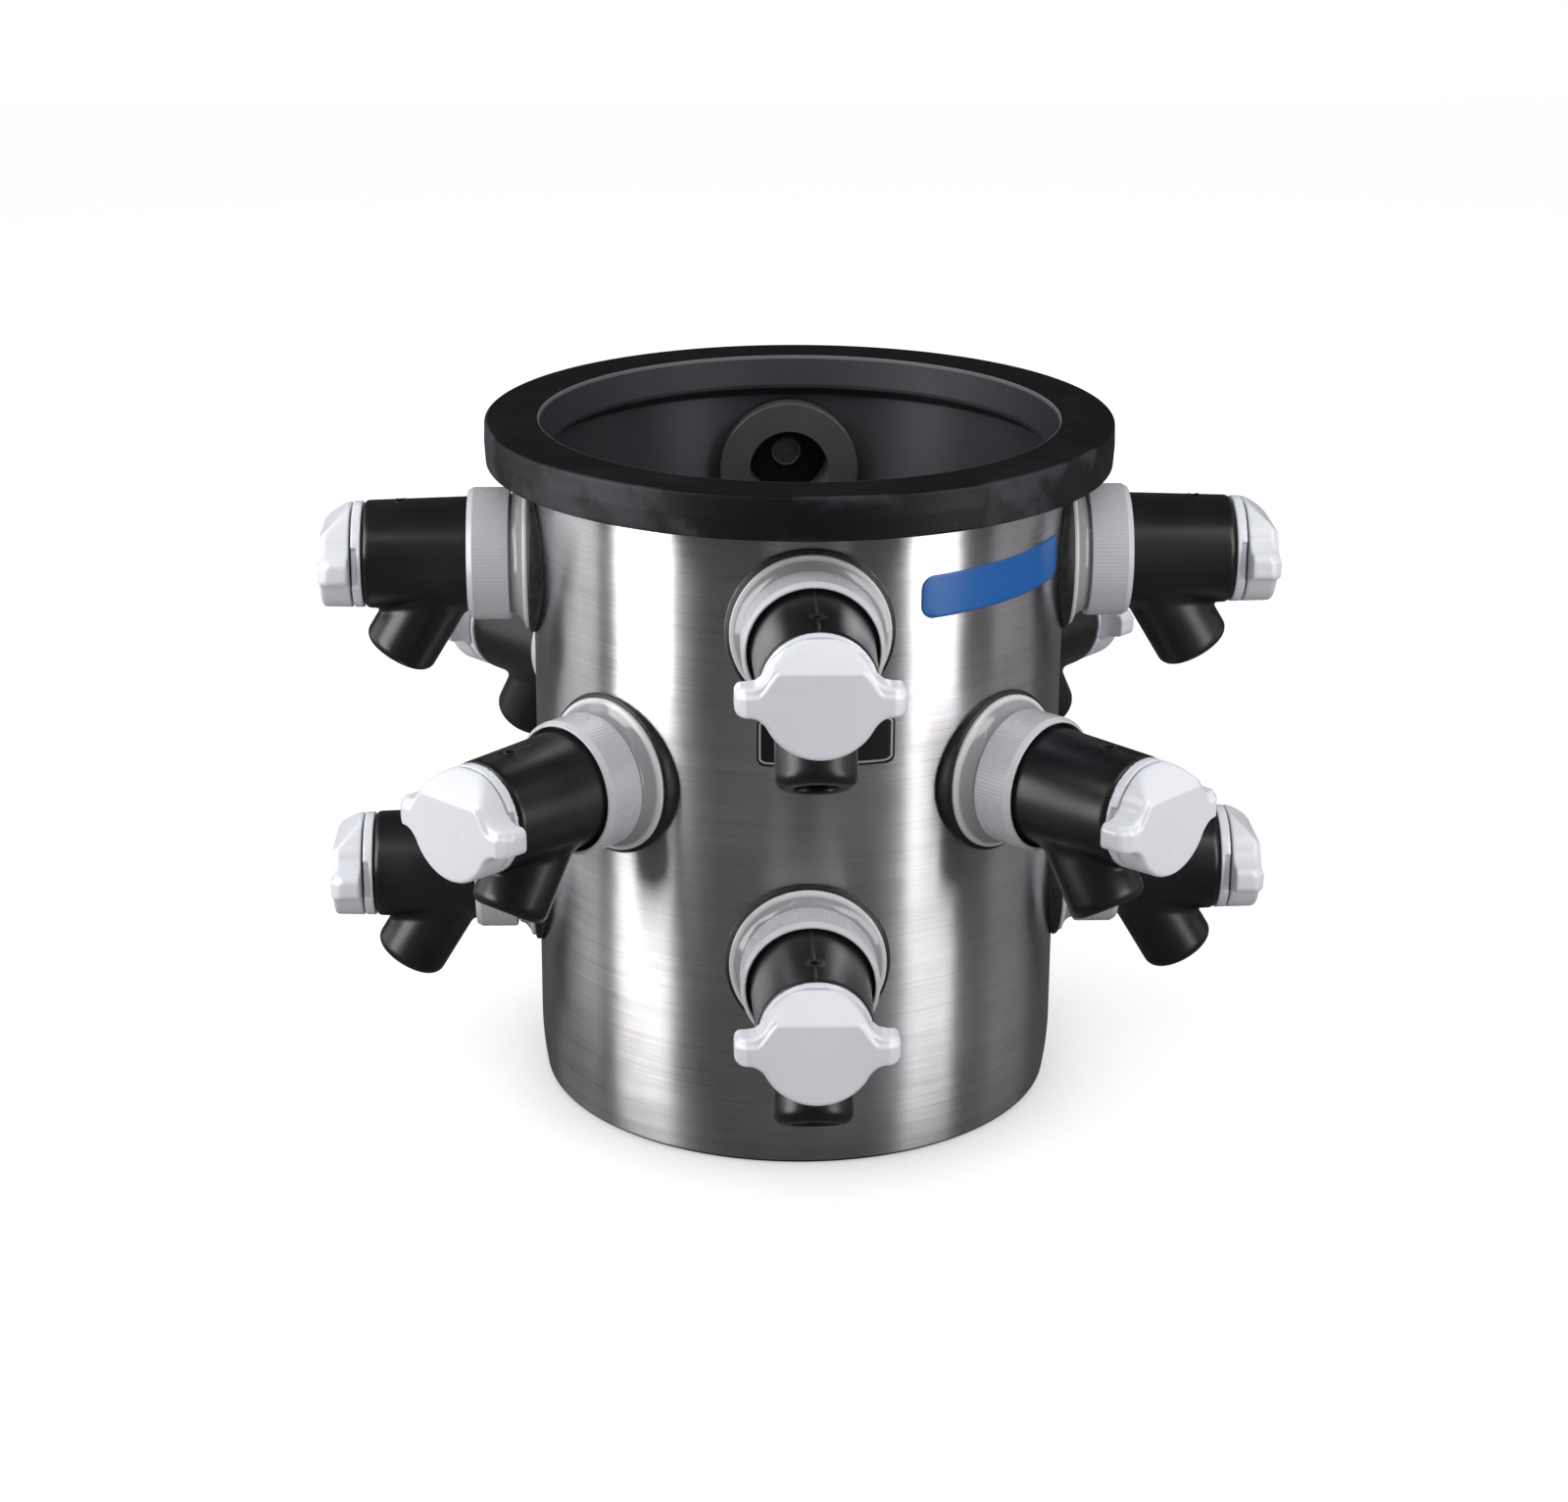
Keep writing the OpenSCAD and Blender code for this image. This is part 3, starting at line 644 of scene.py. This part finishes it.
def softOutline(corners, segments=4):
    # corners are (x, y, radius); each becomes an arc with one support point just outside it on both sides
    pts = np.array([c[:2] for c in corners], float)
    out = []
    for i, (x, y, radius) in enumerate(corners):
        here = pts[i]
        toward = [pts[i - 1] - here, pts[(i + 1) % len(pts)] - here]
        lengths = [np.hypot(*t) for t in toward]
        unit = [t / l for t, l in zip(toward, lengths)]
        half = math.acos(np.clip(unit[0] @ unit[1], -1, 1)) / 2
        if radius <= 0 or half > math.radians(88):
            out.append(here)
            continue
        back = min(radius / math.tan(half), 0.45 * min(lengths))
        radius = back * math.tan(half)
        middle = (unit[0] + unit[1]) / np.hypot(*(unit[0] + unit[1]))
        centre = here + middle * radius / math.sin(half)
        start, end = here + unit[0] * back - centre, here + unit[1] * back - centre
        turn = math.acos(np.clip(start @ end / radius ** 2, -1, 1))
        share = np.linspace(0, 1, segments + 1)[:, None]
        arc = (np.sin((1 - share) * turn) * start + np.sin(share * turn) * end) / math.sin(turn)
        support = min(0.35 * radius, 0.04 * min(lengths) + 0.05)
        out.append(here + unit[0] * (back + support))
        out.extend(centre + arc)
        out.append(here + unit[1] * (back + support))
    return np.array(out)


def turned(outline, around):
    # a closed outline of (radius, station) carried round the axis: x = r sin a, y = r cos a, z = station
    angle = np.linspace(0, 2 * np.pi, around, endpoint=False)[:, None]
    radius, station = outline[:, 0][None], outline[:, 1][None]
    points = np.stack(np.broadcast_arrays(radius * np.sin(angle), radius * np.cos(angle), station), -1)
    return points.reshape(-1, 3), gridFaces(around, len(outline))


def roundUnion(a, b, r):
    # union of two distance fields with a fillet of radius r
    return np.maximum(r, np.minimum(a, b)) - np.hypot(np.maximum(r - a, 0), np.maximum(r - b, 0))


def roundCut(a, b, r):
    # intersection of two distance fields with an edge of radius r
    return np.minimum(-r, np.maximum(a, b)) + np.hypot(np.maximum(r + a, 0), np.maximum(r + b, 0))


def boxField(x, y, halfX, halfY, r=0.0):
    dx, dy = np.abs(x) - halfX + r, np.abs(y) - halfY + r
    return np.hypot(np.maximum(dx, 0), np.maximum(dy, 0)) + np.minimum(np.maximum(dx, dy), 0) - r


def fieldSurface(field, low, high, step):
    # the zero surface of a distance field: one point for each cell that the surface crosses, at the mean of
    # its edge crossings, then drawn onto the surface along the gradient; four cells round an edge make a quad
    axes = [np.arange(a, b + step, step) for a, b in zip(low, high)]
    x, y, z = np.meshgrid(*axes, indexing="ij")
    value = field(x, y, z)
    shape = np.array(value.shape)
    total = np.zeros((*(shape - 1), 3))
    count = np.zeros(tuple(shape - 1))
    corner = np.stack([x, y, z], -1)
    quads = []
    for axis in range(3):
        others = [k for k in range(3) if k != axis]
        near = [slice(None)] * 3
        far = [slice(None)] * 3
        near[axis], far[axis] = slice(0, -1), slice(1, None)
        a, b = value[tuple(near)], value[tuple(far)]
        crossed = (a < 0) != (b < 0)
        t = np.where(crossed, a / np.where(crossed, a - b, 1), 0)[..., None]
        spot = corner[tuple(near)] * (1 - t) + corner[tuple(far)] * t
        for shift in ((0, 0), (0, 1), (1, 0), (1, 1)):
            pick = [slice(None)] * 3
            for k, d in zip(others, shift):
                pick[k] = slice(d, shape[k] - 1 + d)
            hit = crossed[tuple(pick)]
            total += spot[tuple(pick)] * hit[..., None]
            count += hit
        inner = [slice(None)] * 3
        inner[others[0]] = inner[others[1]] = slice(1, -1)
        place = np.argwhere(crossed[tuple(inner)])
        place[:, others[0]] += 1
        place[:, others[1]] += 1
        rising = a[tuple(place.T)] < 0
        u, v = np.zeros(3, int), np.zeros(3, int)
        u[others[0]], v[others[1]] = 1, 1
        ring = np.stack([place, place - u, place - u - v, place - v], 1)
        if axis == 1:
            ring = ring[:, ::-1]
        ring[~rising] = ring[~rising][:, ::-1]
        quads.append(ring)
    quads = np.concatenate(quads)
    used = count > 0
    index = np.full(used.shape, -1)
    index[used] = np.arange(used.sum())
    points = total[used] / count[used][:, None]
    faces = index[quads[..., 0], quads[..., 1], quads[..., 2]]
    small = 0.02
    for _ in range(3):
        here = field(*points.T)
        slope = np.stack([field(*(points + small * axis).T) - field(*(points - small * axis).T)
                          for axis in np.eye(3)], -1) / (2 * small)
        size = np.maximum((slope ** 2).sum(-1), 0.25)
        points = points - np.clip(here / size, -step, step)[:, None] * slope * 0.9
    return points, faces


# ---- drum: a closed outline carried round the axis, with round holes cut for the ports

drumSet = {
    "bend": 3.0,
    "drawLong": 25.0,
    "drawAngle": 10.0,
    "opening": 75.0,
    "hole": 24.5,
    "around": 300,
    "rows": 76,
}


def drawnBase(radius, bottom, bend, g):
    # a bend of radius b, then the arc of radius b + L / sin A that draws the wall in by the angle A
    # over the height L
    tilt = math.radians(g["drawAngle"])
    wide = bend + g["drawLong"] / math.sin(tilt)
    low = np.linspace(-math.pi / 2, -tilt, 9)
    high = np.linspace(-tilt, 0, 9)[1:]
    bendAt = radius - wide + g["drawLong"] / math.tan(tilt)
    r = np.concatenate([bendAt + bend * np.cos(low), radius - wide + wide * np.cos(high)])
    z = np.concatenate([bend + bend * np.sin(low), bend + g["drawLong"] + wide * np.sin(high)])
    return np.stack([r, z + bottom], -1)


def buildDrum(g):
    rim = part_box("drum")[1].z / mm
    outside = drawnBase(drumRadius, 0.0, g["bend"], g)
    inside = drawnBase(drumInner, drumWall, g["bend"] - drumWall, g)
    levels = np.linspace(outside[-1, 1], rim, g["rows"])
    outWall = np.stack([np.full(g["rows"], drumRadius), levels], -1)
    inWall = np.stack([np.full(g["rows"], drumInner), levels], -1)
    mouth = g["opening"]
    edge = [(mouth + 0.2, drumWall), (mouth, drumWall - 0.2), (mouth, 0.2), (mouth + 0.2, 0.0)]
    outline = np.concatenate([edge, outside[:-1], outWall, inWall[::-1], inside[:-1][::-1]])
    outAt = len(edge) + len(outside) - 1
    inAt = outAt + 2 * g["rows"] - 1
    angle = np.linspace(0, 2 * np.pi, g["around"], endpoint=False)
    turn = np.repeat(angle[:, None], g["rows"], 1)
    height = np.repeat(levels[None], g["around"], 0)
    # points inside a hole are moved out to its edge: x = R sin(a - port), y = z - port height,
    # and x^2 + y^2 = hole^2 there
    covered = np.zeros(turn.shape, bool)
    for port in ports:
        facing = math.atan2(port["out"][0], -port["out"][1])
        x = drumRadius * np.sin(turn - facing)
        y = height - port["height"]
        reach = np.hypot(x, y)
        inHole = (reach < g["hole"]) & (np.cos(turn - facing) > 0)
        covered |= inHole
        grow = np.where(inHole, g["hole"] / np.maximum(reach, 0.01), 1)
        turn = np.where(inHole, facing + np.arcsin(np.clip(x * grow / drumRadius, -1, 1)), turn)
        height = np.where(inHole, port["height"] + y * grow, height)
    points = np.empty((g["around"], len(outline), 3))
    points[..., 0] = outline[:, 0] * np.sin(angle)[:, None]
    points[..., 1] = -outline[:, 0] * np.cos(angle)[:, None]
    points[..., 2] = outline[:, 1]
    for at, step, radius in ((outAt, 1, drumRadius), (inAt, -1, drumInner)):
        columns = at + step * np.arange(g["rows"])
        points[:, columns] = np.stack([radius * np.sin(turn), -radius * np.cos(turn), height], -1)
    gone = covered[:, :-1] & covered[:, 1:]
    gone = gone & np.roll(gone, -1, 0)
    quads = gridFaces(*points.shape[:2]).reshape(g["around"], len(outline), 4)
    keep = np.ones(quads.shape[:2], bool)
    row = np.arange(g["rows"] - 1)
    keep[:, outAt + row] = ~gone
    keep[:, inAt - 1 - row] = ~gone
    # the hole's own wall joins the two skins wherever a kept cell borders a missing one
    span = len(outline)
    walls = []
    for missing, beside, flip in ((gone, np.roll(gone, 1, 0), False), (np.roll(gone, 1, 0), gone, True)):
        i, m = np.nonzero(missing & ~beside)
        outer = i * span + outAt + m
        inner = i * span + inAt - m
        ring = np.stack([outer, outer + 1, inner - 1, inner], -1)
        walls.append(ring[:, ::-1] if flip else ring)
    for missing, beside, flip in ((gone[:, 1:], gone[:, :-1], True), (gone[:, :-1], gone[:, 1:], False)):
        i, m = np.nonzero(missing & ~beside)
        after = (i + 1) % g["around"]
        outer, outerNext = i * span + outAt + m + 1, after * span + outAt + m + 1
        inner, innerNext = i * span + inAt - m - 1, after * span + inAt - m - 1
        ring = np.stack([outer, outerNext, innerNext, inner], -1)
        walls.append(ring[:, ::-1] if flip else ring)
    faces = np.concatenate([quads[keep], *walls])
    used = np.unique(faces)
    renumber = np.zeros(points.shape[0] * span, int)
    renumber[used] = np.arange(len(used))
    addPiece("drum", points.reshape(-1, 3)[used], [renumber[faces]], "steel", "steel", fixedBody, "drum")


buildDrum(drumSet)
print("drum ready")


# ---- rim gasket: one outline carried round the drum's axis

gasketSet = {
    "web": 4.0,
    "step": 1.4,
    "groove": 0.8,
    "lipIn": 7.8,
    "lipDrop": 12.7,
    "lipThick": 1.8,
    "bulge": 0.3,
    "seat": 0.05,
    "around": 320,
}


def buildGasket(g):
    low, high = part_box("rim_gasket")
    out, bottom, top = high.x / mm, low.z / mm, high.z / mm
    rim = top - g["web"]
    land = gasketLand
    lip = drumInner - g["lipIn"]
    groove = top - g["step"] - g["groove"]
    corners = [
        (out - 2 * g["bulge"], bottom, 1.0),
        (out, bottom + 0.5 * (top - bottom), 12),
        (out - g["bulge"], top, 1.3),
        (land, top, 0.4),
        (land - 0.1, groove, 0.1),
        (land - 0.7, groove, 0.1),
        (land - 0.8, top - g["step"] + 0.35, 0.8),
        (lip, top - g["lipDrop"], 0.9),
        (lip, top - g["lipDrop"] - g["lipThick"], 0.6),
        (land, bottom, 0.6),
        (drumInner - g["seat"], bottom, 0.3),
        (drumInner - g["seat"], rim + g["seat"], 0.2),
        (drumRadius + g["seat"], rim + g["seat"], 0.2),
        (drumRadius + g["seat"], bottom, 0.3),
    ]
    points, faces = turned(softOutline(corners, 5), g["around"])
    addPiece("rimGasket", points, [faces], "gasket", "gasket_rubber", fixedBody, "rim_gasket")


buildGasket(gasketSet)
print("gasket ready")


# ---- rubber seals outside and inside the drum

sealSet = {"tube": 24.05, "bulge": 0.5, "around": 120, "trim": 0.3}
lowestPort = min(port["height"] for port in ports)


def saddle(outer, inner, flat, drumFace, g):
    # a ring with one flat face and one that follows the drum: station = sqrt(R^2 - x^2), with a bulging rim
    angle = np.linspace(0, 2 * np.pi, g["around"], endpoint=False)
    share = np.linspace(0, 1, 7)
    rim = np.stack([outer - g["bulge"] + g["bulge"] * np.sin(np.pi * share), share], -1)
    ring = np.concatenate([[[inner, 0]], rim, [[inner, 1]]])
    radius = ring[:, 0][None]
    x, y = radius * np.sin(angle)[:, None], radius * np.cos(angle)[:, None]
    curved = np.sqrt(drumFace ** 2 - x ** 2)
    z = curved + (flat - curved) * ring[:, 1][None]
    return np.stack([x, y, z], -1).reshape(-1, 3), gridFaces(g["around"], len(ring))


def buildSeals(g):
    seals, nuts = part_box("port_seals"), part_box("ring_nuts")
    sealRadius = lowestPort - seals[0].z / mm
    nutRadius = lowestPort - nuts[0].z / mm
    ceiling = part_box("rim_gasket")[0].z / mm - g["trim"]
    outside, inside = [], []
    for port in ports:
        points, faces = saddle(sealRadius, g["tube"], -seals[0].y / mm, drumRadius + 0.05, g)
        points[:, 1] = np.minimum(points[:, 1], ceiling - port["height"])
        outside.append((atPort(points, port), faces))
        points, faces = saddle(nutRadius, g["tube"], -nuts[0].y / mm, drumInner - 0.05, g)
        inside.append((atPort(points, port), faces))
    points, faces = joined(outside)
    addPiece("portSeals", points, [faces], "seal", "seal_rubber", fixedBody, "port_seals")
    points, faces = joined(inside)
    addPiece("innerWashers", points, [faces], "seal", "seal_rubber", fixedBody, "inner_washers")


buildSeals(sealSet)


# ---- ring nuts inside the drum

nutSet = {"bore": 19.1, "thread": 24.05, "long": 8.0, "lip": 2.0, "edge": 1.0, "around": 64}


def buildRingNuts(g):
    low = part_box("ring_nuts")[0]
    seat, radius = -low.y / mm, lowestPort - low.z / mm
    face = seat - g["long"]
    corners = [
        (g["bore"], face, 0.5),
        (radius, face, g["edge"]),
        (radius, seat, 0.4),
        (g["thread"], seat, 0.2),
        (g["thread"], face + g["lip"], 0.1),
        (g["bore"], face + g["lip"], 0.3),
    ]
    points, faces = turned(softOutline(corners), g["around"])
    points, faces = joined([(atPort(points, port), faces) for port in ports])
    addPiece("ringNuts", points, [faces], "nut", "nut_plastic", fixedBody, "ring_nuts")


buildRingNuts(nutSet)
print("seals and ring nuts ready")


# ---- port fittings: a dished flange, a neck and the spigot, with the tube through the drum

fittingSet = {"bore": 19.1, "tube": 24.0, "seat": 122.15, "rim": 2.0, "hub": 28.3, "neck": 27.1,
              "neckLength": 1.4, "spigot": 26.5, "dish": 2.0, "around": 88}


def fittingOutline(g):
    inner, outer, radius = stations("port_fitting")
    flangeEnd = stations("collar_nut")[0] - g["neckLength"]
    lip = g["seat"] + g["rim"]
    # the dish: radius falls from rim to hub as the square of the way left
    share = np.linspace(0.06, 1, 9)
    dish = [(g["hub"] + (radius - 1.0 - g["hub"]) * (1 - s) ** g["dish"], lip + (flangeEnd - lip) * s, 0)
            for s in share]
    corners = [
        (g["bore"], inner, 0.4),
        (g["tube"], inner, 0.4),
        (g["tube"], g["seat"], 0.2),
        (radius, g["seat"], 0.5),
        (radius, lip, 0.9),
        *dish,
        (g["neck"], flangeEnd + 0.05, 0.2),
        (g["neck"], flangeEnd + g["neckLength"], 0.2),
        (g["spigot"], flangeEnd + g["neckLength"], 0.2),
        (g["spigot"], outer, 0.4),
        (g["bore"], outer, 0.4),
    ]
    return softOutline(corners)


# ---- collar nuts: fine ribs on the outside, a plain bevelled lip

collarSet = {"ribs": 112, "perRib": 4, "ribHeight": 0.2, "bevel": (2.4, 1.3), "mouth": 27.8, "socket": 28.65,
             "thread": 26.55, "spigotEnd": 140.0, "lip": 3.4, "ribFrom": 0.8}


def collarSurface(g):
    start, end, radius = stations("collar_nut")
    bevelLong, bevelWide = g["bevel"]
    ribEnd = end - bevelLong - 0.4
    ribStart = start + g["ribFrom"]
    corners = [
        (radius - 0.3, start, 0.3),
        (radius - 0.15, ribStart, 0),
        (radius, ribStart + 0.3, 0),
        (radius, ribEnd - 0.3, 0),
        (radius, ribEnd, 0),
        (radius, end - bevelLong, 0.5),
        (radius - bevelWide, end, 0.5),
        (g["mouth"], end, 0.3),
        (g["mouth"], end - g["lip"], 0.2),
        (g["socket"], end - g["lip"], 0.1),
        (g["socket"], g["spigotEnd"], 0.2),
        (g["thread"], g["spigotEnd"], 0.2),
        (g["thread"], start, 0.3),
    ]
    outline = softOutline(corners, 2)
    around = g["ribs"] * g["perRib"]
    angle = np.linspace(0, 2 * np.pi, around, endpoint=False)[:, None]
    radii, station = outline[:, 0][None], outline[:, 1][None]
    # ribs: the radius drops by the rib height in a narrow groove once a rib, only between the ribbed stations
    ribbed = (radii > radius - 0.02) & (station > ribStart) & (station < ribEnd)
    groove = 0.5 + 0.5 * np.cos(angle * g["ribs"])
    radii = radii - g["ribHeight"] * groove ** 2 * ribbed
    station = np.broadcast_to(station, radii.shape)
    points = np.stack([radii * np.sin(angle), radii * np.cos(angle), station], -1)
    return points.reshape(-1, 3), gridFaces(around, len(outline))


# ---- valve bodies: a tapered barrel and a slanted branch blended into it

valveSet = {"base": (28.6, 6.4), "root": 26.05, "top": 24.5, "mouthGap": 1.1, "endRound": 2.4, "branch": 17.1,
            "branchBore": 9.525, "socket": 33.0, "way": 7.0, "branchTilt": 31.0, "branchLong": 55.3,
            "branchFrom": 155.69, "branchRound": 5.0, "blend": 3.0, "stemBore": 13.08,
            "web": 3.0, "webHole": 7.0, "ventAt": 180.0, "vent": 2.0,
            "ventRim": 3.4, "ventRise": 0.6, "step": 1.2}


def valveField(g):
    start, end, _ = stations("valve_body")
    lip = start + g["base"][1]
    tilt = math.radians(g["branchTilt"])

    def field(x, y, z):
        rho = np.hypot(x, y)
        taper = g["root"] + (g["top"] - g["root"]) * (z - lip) / (end - lip)
        barrel = roundCut(rho - taper, z - end, g["endRound"])
        barrel = np.maximum(barrel, start - z)
        foot = np.maximum(rho - g["base"][0], np.maximum(start - z, z - lip))
        collar = np.maximum(rho - (g["base"][0] - 0.85), z - lip - g["mouthGap"])
        barrel = np.minimum(barrel, np.minimum(foot, np.maximum(collar, start - z)))
        # along and across the branch's own axis, which points down and outwards
        along = (z - g["branchFrom"]) * math.sin(tilt) - y * math.cos(tilt)
        across = np.hypot(x, (z - g["branchFrom"]) * math.cos(tilt) + y * math.sin(tilt))
        arm = roundCut(across - g["branch"], along - g["branchLong"], g["branchRound"])
        arm = np.maximum(arm, -along)
        body = roundUnion(barrel, arm, g["blend"])
        body = np.where(z < lip + g["mouthGap"], barrel, body)
        ventWay = np.hypot(x, z - g["ventAt"])
        boss = np.maximum(ventWay - g["ventRim"], y - (g["top"] + 0.5 + g["ventRise"]))
        body = roundUnion(body, np.maximum(boss, 20 - y), 0.8)
        way = np.minimum(np.maximum(rho - g["stemBore"], start + g["web"] - z), rho - g["webHole"])
        socket = np.maximum(across - g["branchBore"], g["branchLong"] - g["socket"] - along)
        way = np.minimum(way, np.minimum(socket, np.maximum(across - g["way"], -along)))
        way = np.minimum(way, np.maximum(ventWay - g["vent"], -y))
        return roundCut(body, -way, 0.5)

    return field


def valveSurface(g):
    start, end, _ = stations("valve_body")
    tilt = math.radians(g["branchTilt"])
    reach = g["branchLong"] * math.cos(tilt) + g["branch"] * math.sin(tilt)
    low = (-30.5, -reach - 2, start - 2)
    high = (30.5, 30.5, end + 6)
    return fieldSurface(valveField(g), low, high, g["step"])


# ---- knobs: a disc with two wings and a bevel, and the stem behind it

knobSet = {"radius": 24.2, "wingSpan": 34.3, "wingHalf": 6.0, "fillet": 5.0, "wingLong": 13.5, "draft": 0.4,
           "bevelFrom": 12.4, "bevelSlope": 0.93, "shoulder": 1.5, "shoulderWide": 2.2,
           "sCurve": (15.5, 25.5), "sLow": 2.2, "wingRound": 3.6, "edge": 1.6, "wingSlope": 0.68,
           "wingSlopeFrom": 29.3,
           "relief": (21.2, 8.5), "rimWide": 1.6, "step": 0.8, "stemRadius": 13.0, "stemBore": 6.5,
           "stemBoreEnd": 163.4, "ridge": (147.0, 150.0, 14.2)}


def smoothStep(low, high, value):
    t = np.clip((value - low) / (high - low), 0, 1)
    return t * t * (3 - 2 * t)


def knobField(g, back, face):
    def field(x, y, z):
        rho = np.hypot(x, y)
        disc = rho - g["radius"] + g["draft"] * (z - back) / (face - back)
        wings = boxField(x, y, g["wingSpan"], g["wingHalf"], g["wingRound"])
        outline = roundUnion(disc, wings, g["fillet"])
        # the flat face ends above at a line that is level in the middle and falls in an S to each wing
        line = g["sLow"] + (g["bevelFrom"] - g["sLow"]) * (1 - smoothStep(*g["sCurve"], np.abs(x)))
        over = np.maximum(y - g["bevelFrom"], 0)
        bevel = g["bevelSlope"] * over + 0.02 * over ** 2
        shoulder = g["shoulder"] * smoothStep(0, g["shoulderWide"], y - line)
        slope = g["wingSlope"] * np.maximum(np.abs(x) - g["wingSlopeFrom"], 0)
        front = (z - face + np.maximum(bevel, shoulder) + slope) * 0.8
        head = roundCut(outline, front, g["edge"])
        head = np.maximum(head, face - g["wingLong"] - z)
        skirt = np.maximum(disc, np.maximum(back - z, z - face + g["wingLong"] + 1))
        reliefX, reliefY = g["relief"]
        relief = np.maximum(reliefX - np.abs(x), np.abs(y) - reliefY)
        relief = np.maximum(relief, np.maximum(back + g["rimWide"] - z, z - face + g["wingLong"]))
        return np.maximum(np.minimum(head, skirt), -relief)

    return field


def knobSurface(g):
    start, face, _ = stations("knob")
    back = stations("valve_body")[1] + 0.5
    low = (-36, -26, back - 1.5)
    high = (36, 26, face + 1.5)
    head = fieldSurface(knobField(g, back, face), low, high, g["step"])
    ridgeLow, ridgeHigh, ridgeRadius = g["ridge"]
    corners = [
        (g["stemBore"], start, 0.3),
        (g["stemRadius"], start, 0.5),
        (g["stemRadius"], ridgeLow, 0.2),
        (ridgeRadius, ridgeLow, 0.4),
        (ridgeRadius, ridgeHigh, 0.4),
        (g["stemRadius"], ridgeHigh, 0.2),
        (g["stemRadius"], back + 1, 0),
        (0.05, back + 1, 0),
        (0.05, g["stemBoreEnd"], 0),
        (g["stemBore"], g["stemBoreEnd"], 0.3),
    ]
    stem = turned(softOutline(corners, 3), 48)
    return joined([head, stem])


fitting = turned(fittingOutline(fittingSet), fittingSet["around"])
collar = collarSurface(collarSet)
valve = valveSurface(valveSet)
knob = knobSurface(knobSet)
print("faces of a valve:", len(valve[1]), "knob:", len(knob[1]), "collar:", len(collar[1]))
portPieces = [
    ("portFitting", fitting, "fitting", "fitting_plastic", "port_fitting_"),
    ("collarNut", collar, "collar", "collar_plastic", "collar_nut_"),
    ("valveBody", valve, "valve", "valve_rubber", "valve_body_"),
    ("knob", knob, "knob", "knob_plastic", "knob_"),
]
for port in ports:
    for name, (points, faces), paint, slot, node in portPieces:
        body = port["body"] if name == "knob" else fixedBody
        placed = atPort(points, port)
        side = port["name"]
        addPiece(name + "_" + side, placed, [faces], paint, slot, body, node + side, local=points)
print("twelve ports ready")


# ---- blank labels: rounded plates bent round the drum

labelShapes = {
    "blue": {"node": "blue_label", "slot": "blue_film", "wide": 96.0, "high": 19.0, "corner": 6.0,
             "angle": 46.0},
    "black": {"node": "black_label", "slot": "black_film", "wide": 60.0, "high": 22.0, "corner": 3.5,
              "angle": 3.5},
}
labelBuild = {"lift": 0.05, "thick": 0.4, "rounding": 0.12, "side": 14, "cornerSteps": 8, "rings": 10}


def roundedLoop(halfU, halfV, corner, b):
    # four quarter circles joined by straight sides, once round
    quarter = np.linspace(0, np.pi / 2, b["cornerSteps"] + 1)
    loop = []
    for k, (su, sv) in enumerate(((1, 1), (-1, 1), (-1, -1), (1, -1))):
        arc = np.stack([su * (halfU - corner) + corner * np.cos(quarter + k * np.pi / 2),
                        sv * (halfV - corner) + corner * np.sin(quarter + k * np.pi / 2)], -1)
        loop.append(arc)
    sides = []
    for k in range(4):
        start, end = loop[k][-1], loop[(k + 1) % 4][0]
        share = np.linspace(0, 1, b["side"] + 1)[1:-1, None]
        sides.extend([loop[k], start * (1 - share) + end * share])
    return np.concatenate(sides)


def buildLabel(paint, g, b):
    low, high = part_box(g["node"])
    middle = (low.z + high.z) / 2 / mm
    halfU, halfV = g["wide"] / 2, g["high"] / 2
    loop = roundedLoop(halfU, halfV, g["corner"], b)
    # rings of (share of the outline, lift off the drum): from the back's middle over the edge to the front's
    bottom, top, soft = b["lift"], b["lift"] + b["thick"], b["rounding"]
    near = 1 - soft / halfV
    shares = np.linspace(0.04, near, b["rings"])
    rings = [(s, bottom) for s in shares] + [(1, bottom + soft), (1, top - soft)]
    rings = np.array(rings + [(s, top) for s in shares[::-1]])
    u = rings[:, 0, None] * loop[None, :, 0]
    v = rings[:, 0, None] * loop[None, :, 1]
    facing = math.radians(g["angle"])
    turn = u / drumRadius + facing
    radius = drumRadius + rings[:, 1, None]
    points = np.stack([radius * np.sin(turn), -radius * np.cos(turn), v + middle], -1)
    rows, cols = u.shape
    faces = gridFaces(rows, cols, closeRows=False)
    out = np.array((math.sin(facing), -math.cos(facing), 0))
    ends = np.array([(drumRadius + r) * out + np.array((0, 0, middle)) for r in (bottom, top)])
    first = np.arange(cols)
    last = first + (rows - 1) * cols
    poles = rows * cols
    capA = np.stack([np.full(cols, poles), first, np.roll(first, -1)], -1)
    capB = np.stack([np.full(cols, poles + 1), np.roll(last, -1), last], -1)
    allPoints = np.concatenate([points.reshape(-1, 3), ends])
    piece = addPiece(paint + "Label", allPoints, [faces, capA, capB], paint, g["slot"], fixedBody, g["node"])
    # how far each point lies inside the outline, as a share of the label's height
    depth = -boxField(u, v, halfU, halfV, g["corner"]).ravel() / g["high"]
    depth = np.concatenate([depth, [0.5, 0.5]]).astype(np.float32)
    piece.data.attributes.new("edge", "FLOAT", "POINT").data.foreach_set("value", depth)


for paint, shape in labelShapes.items():
    buildLabel(paint, shape, labelBuild)
print("labels ready")
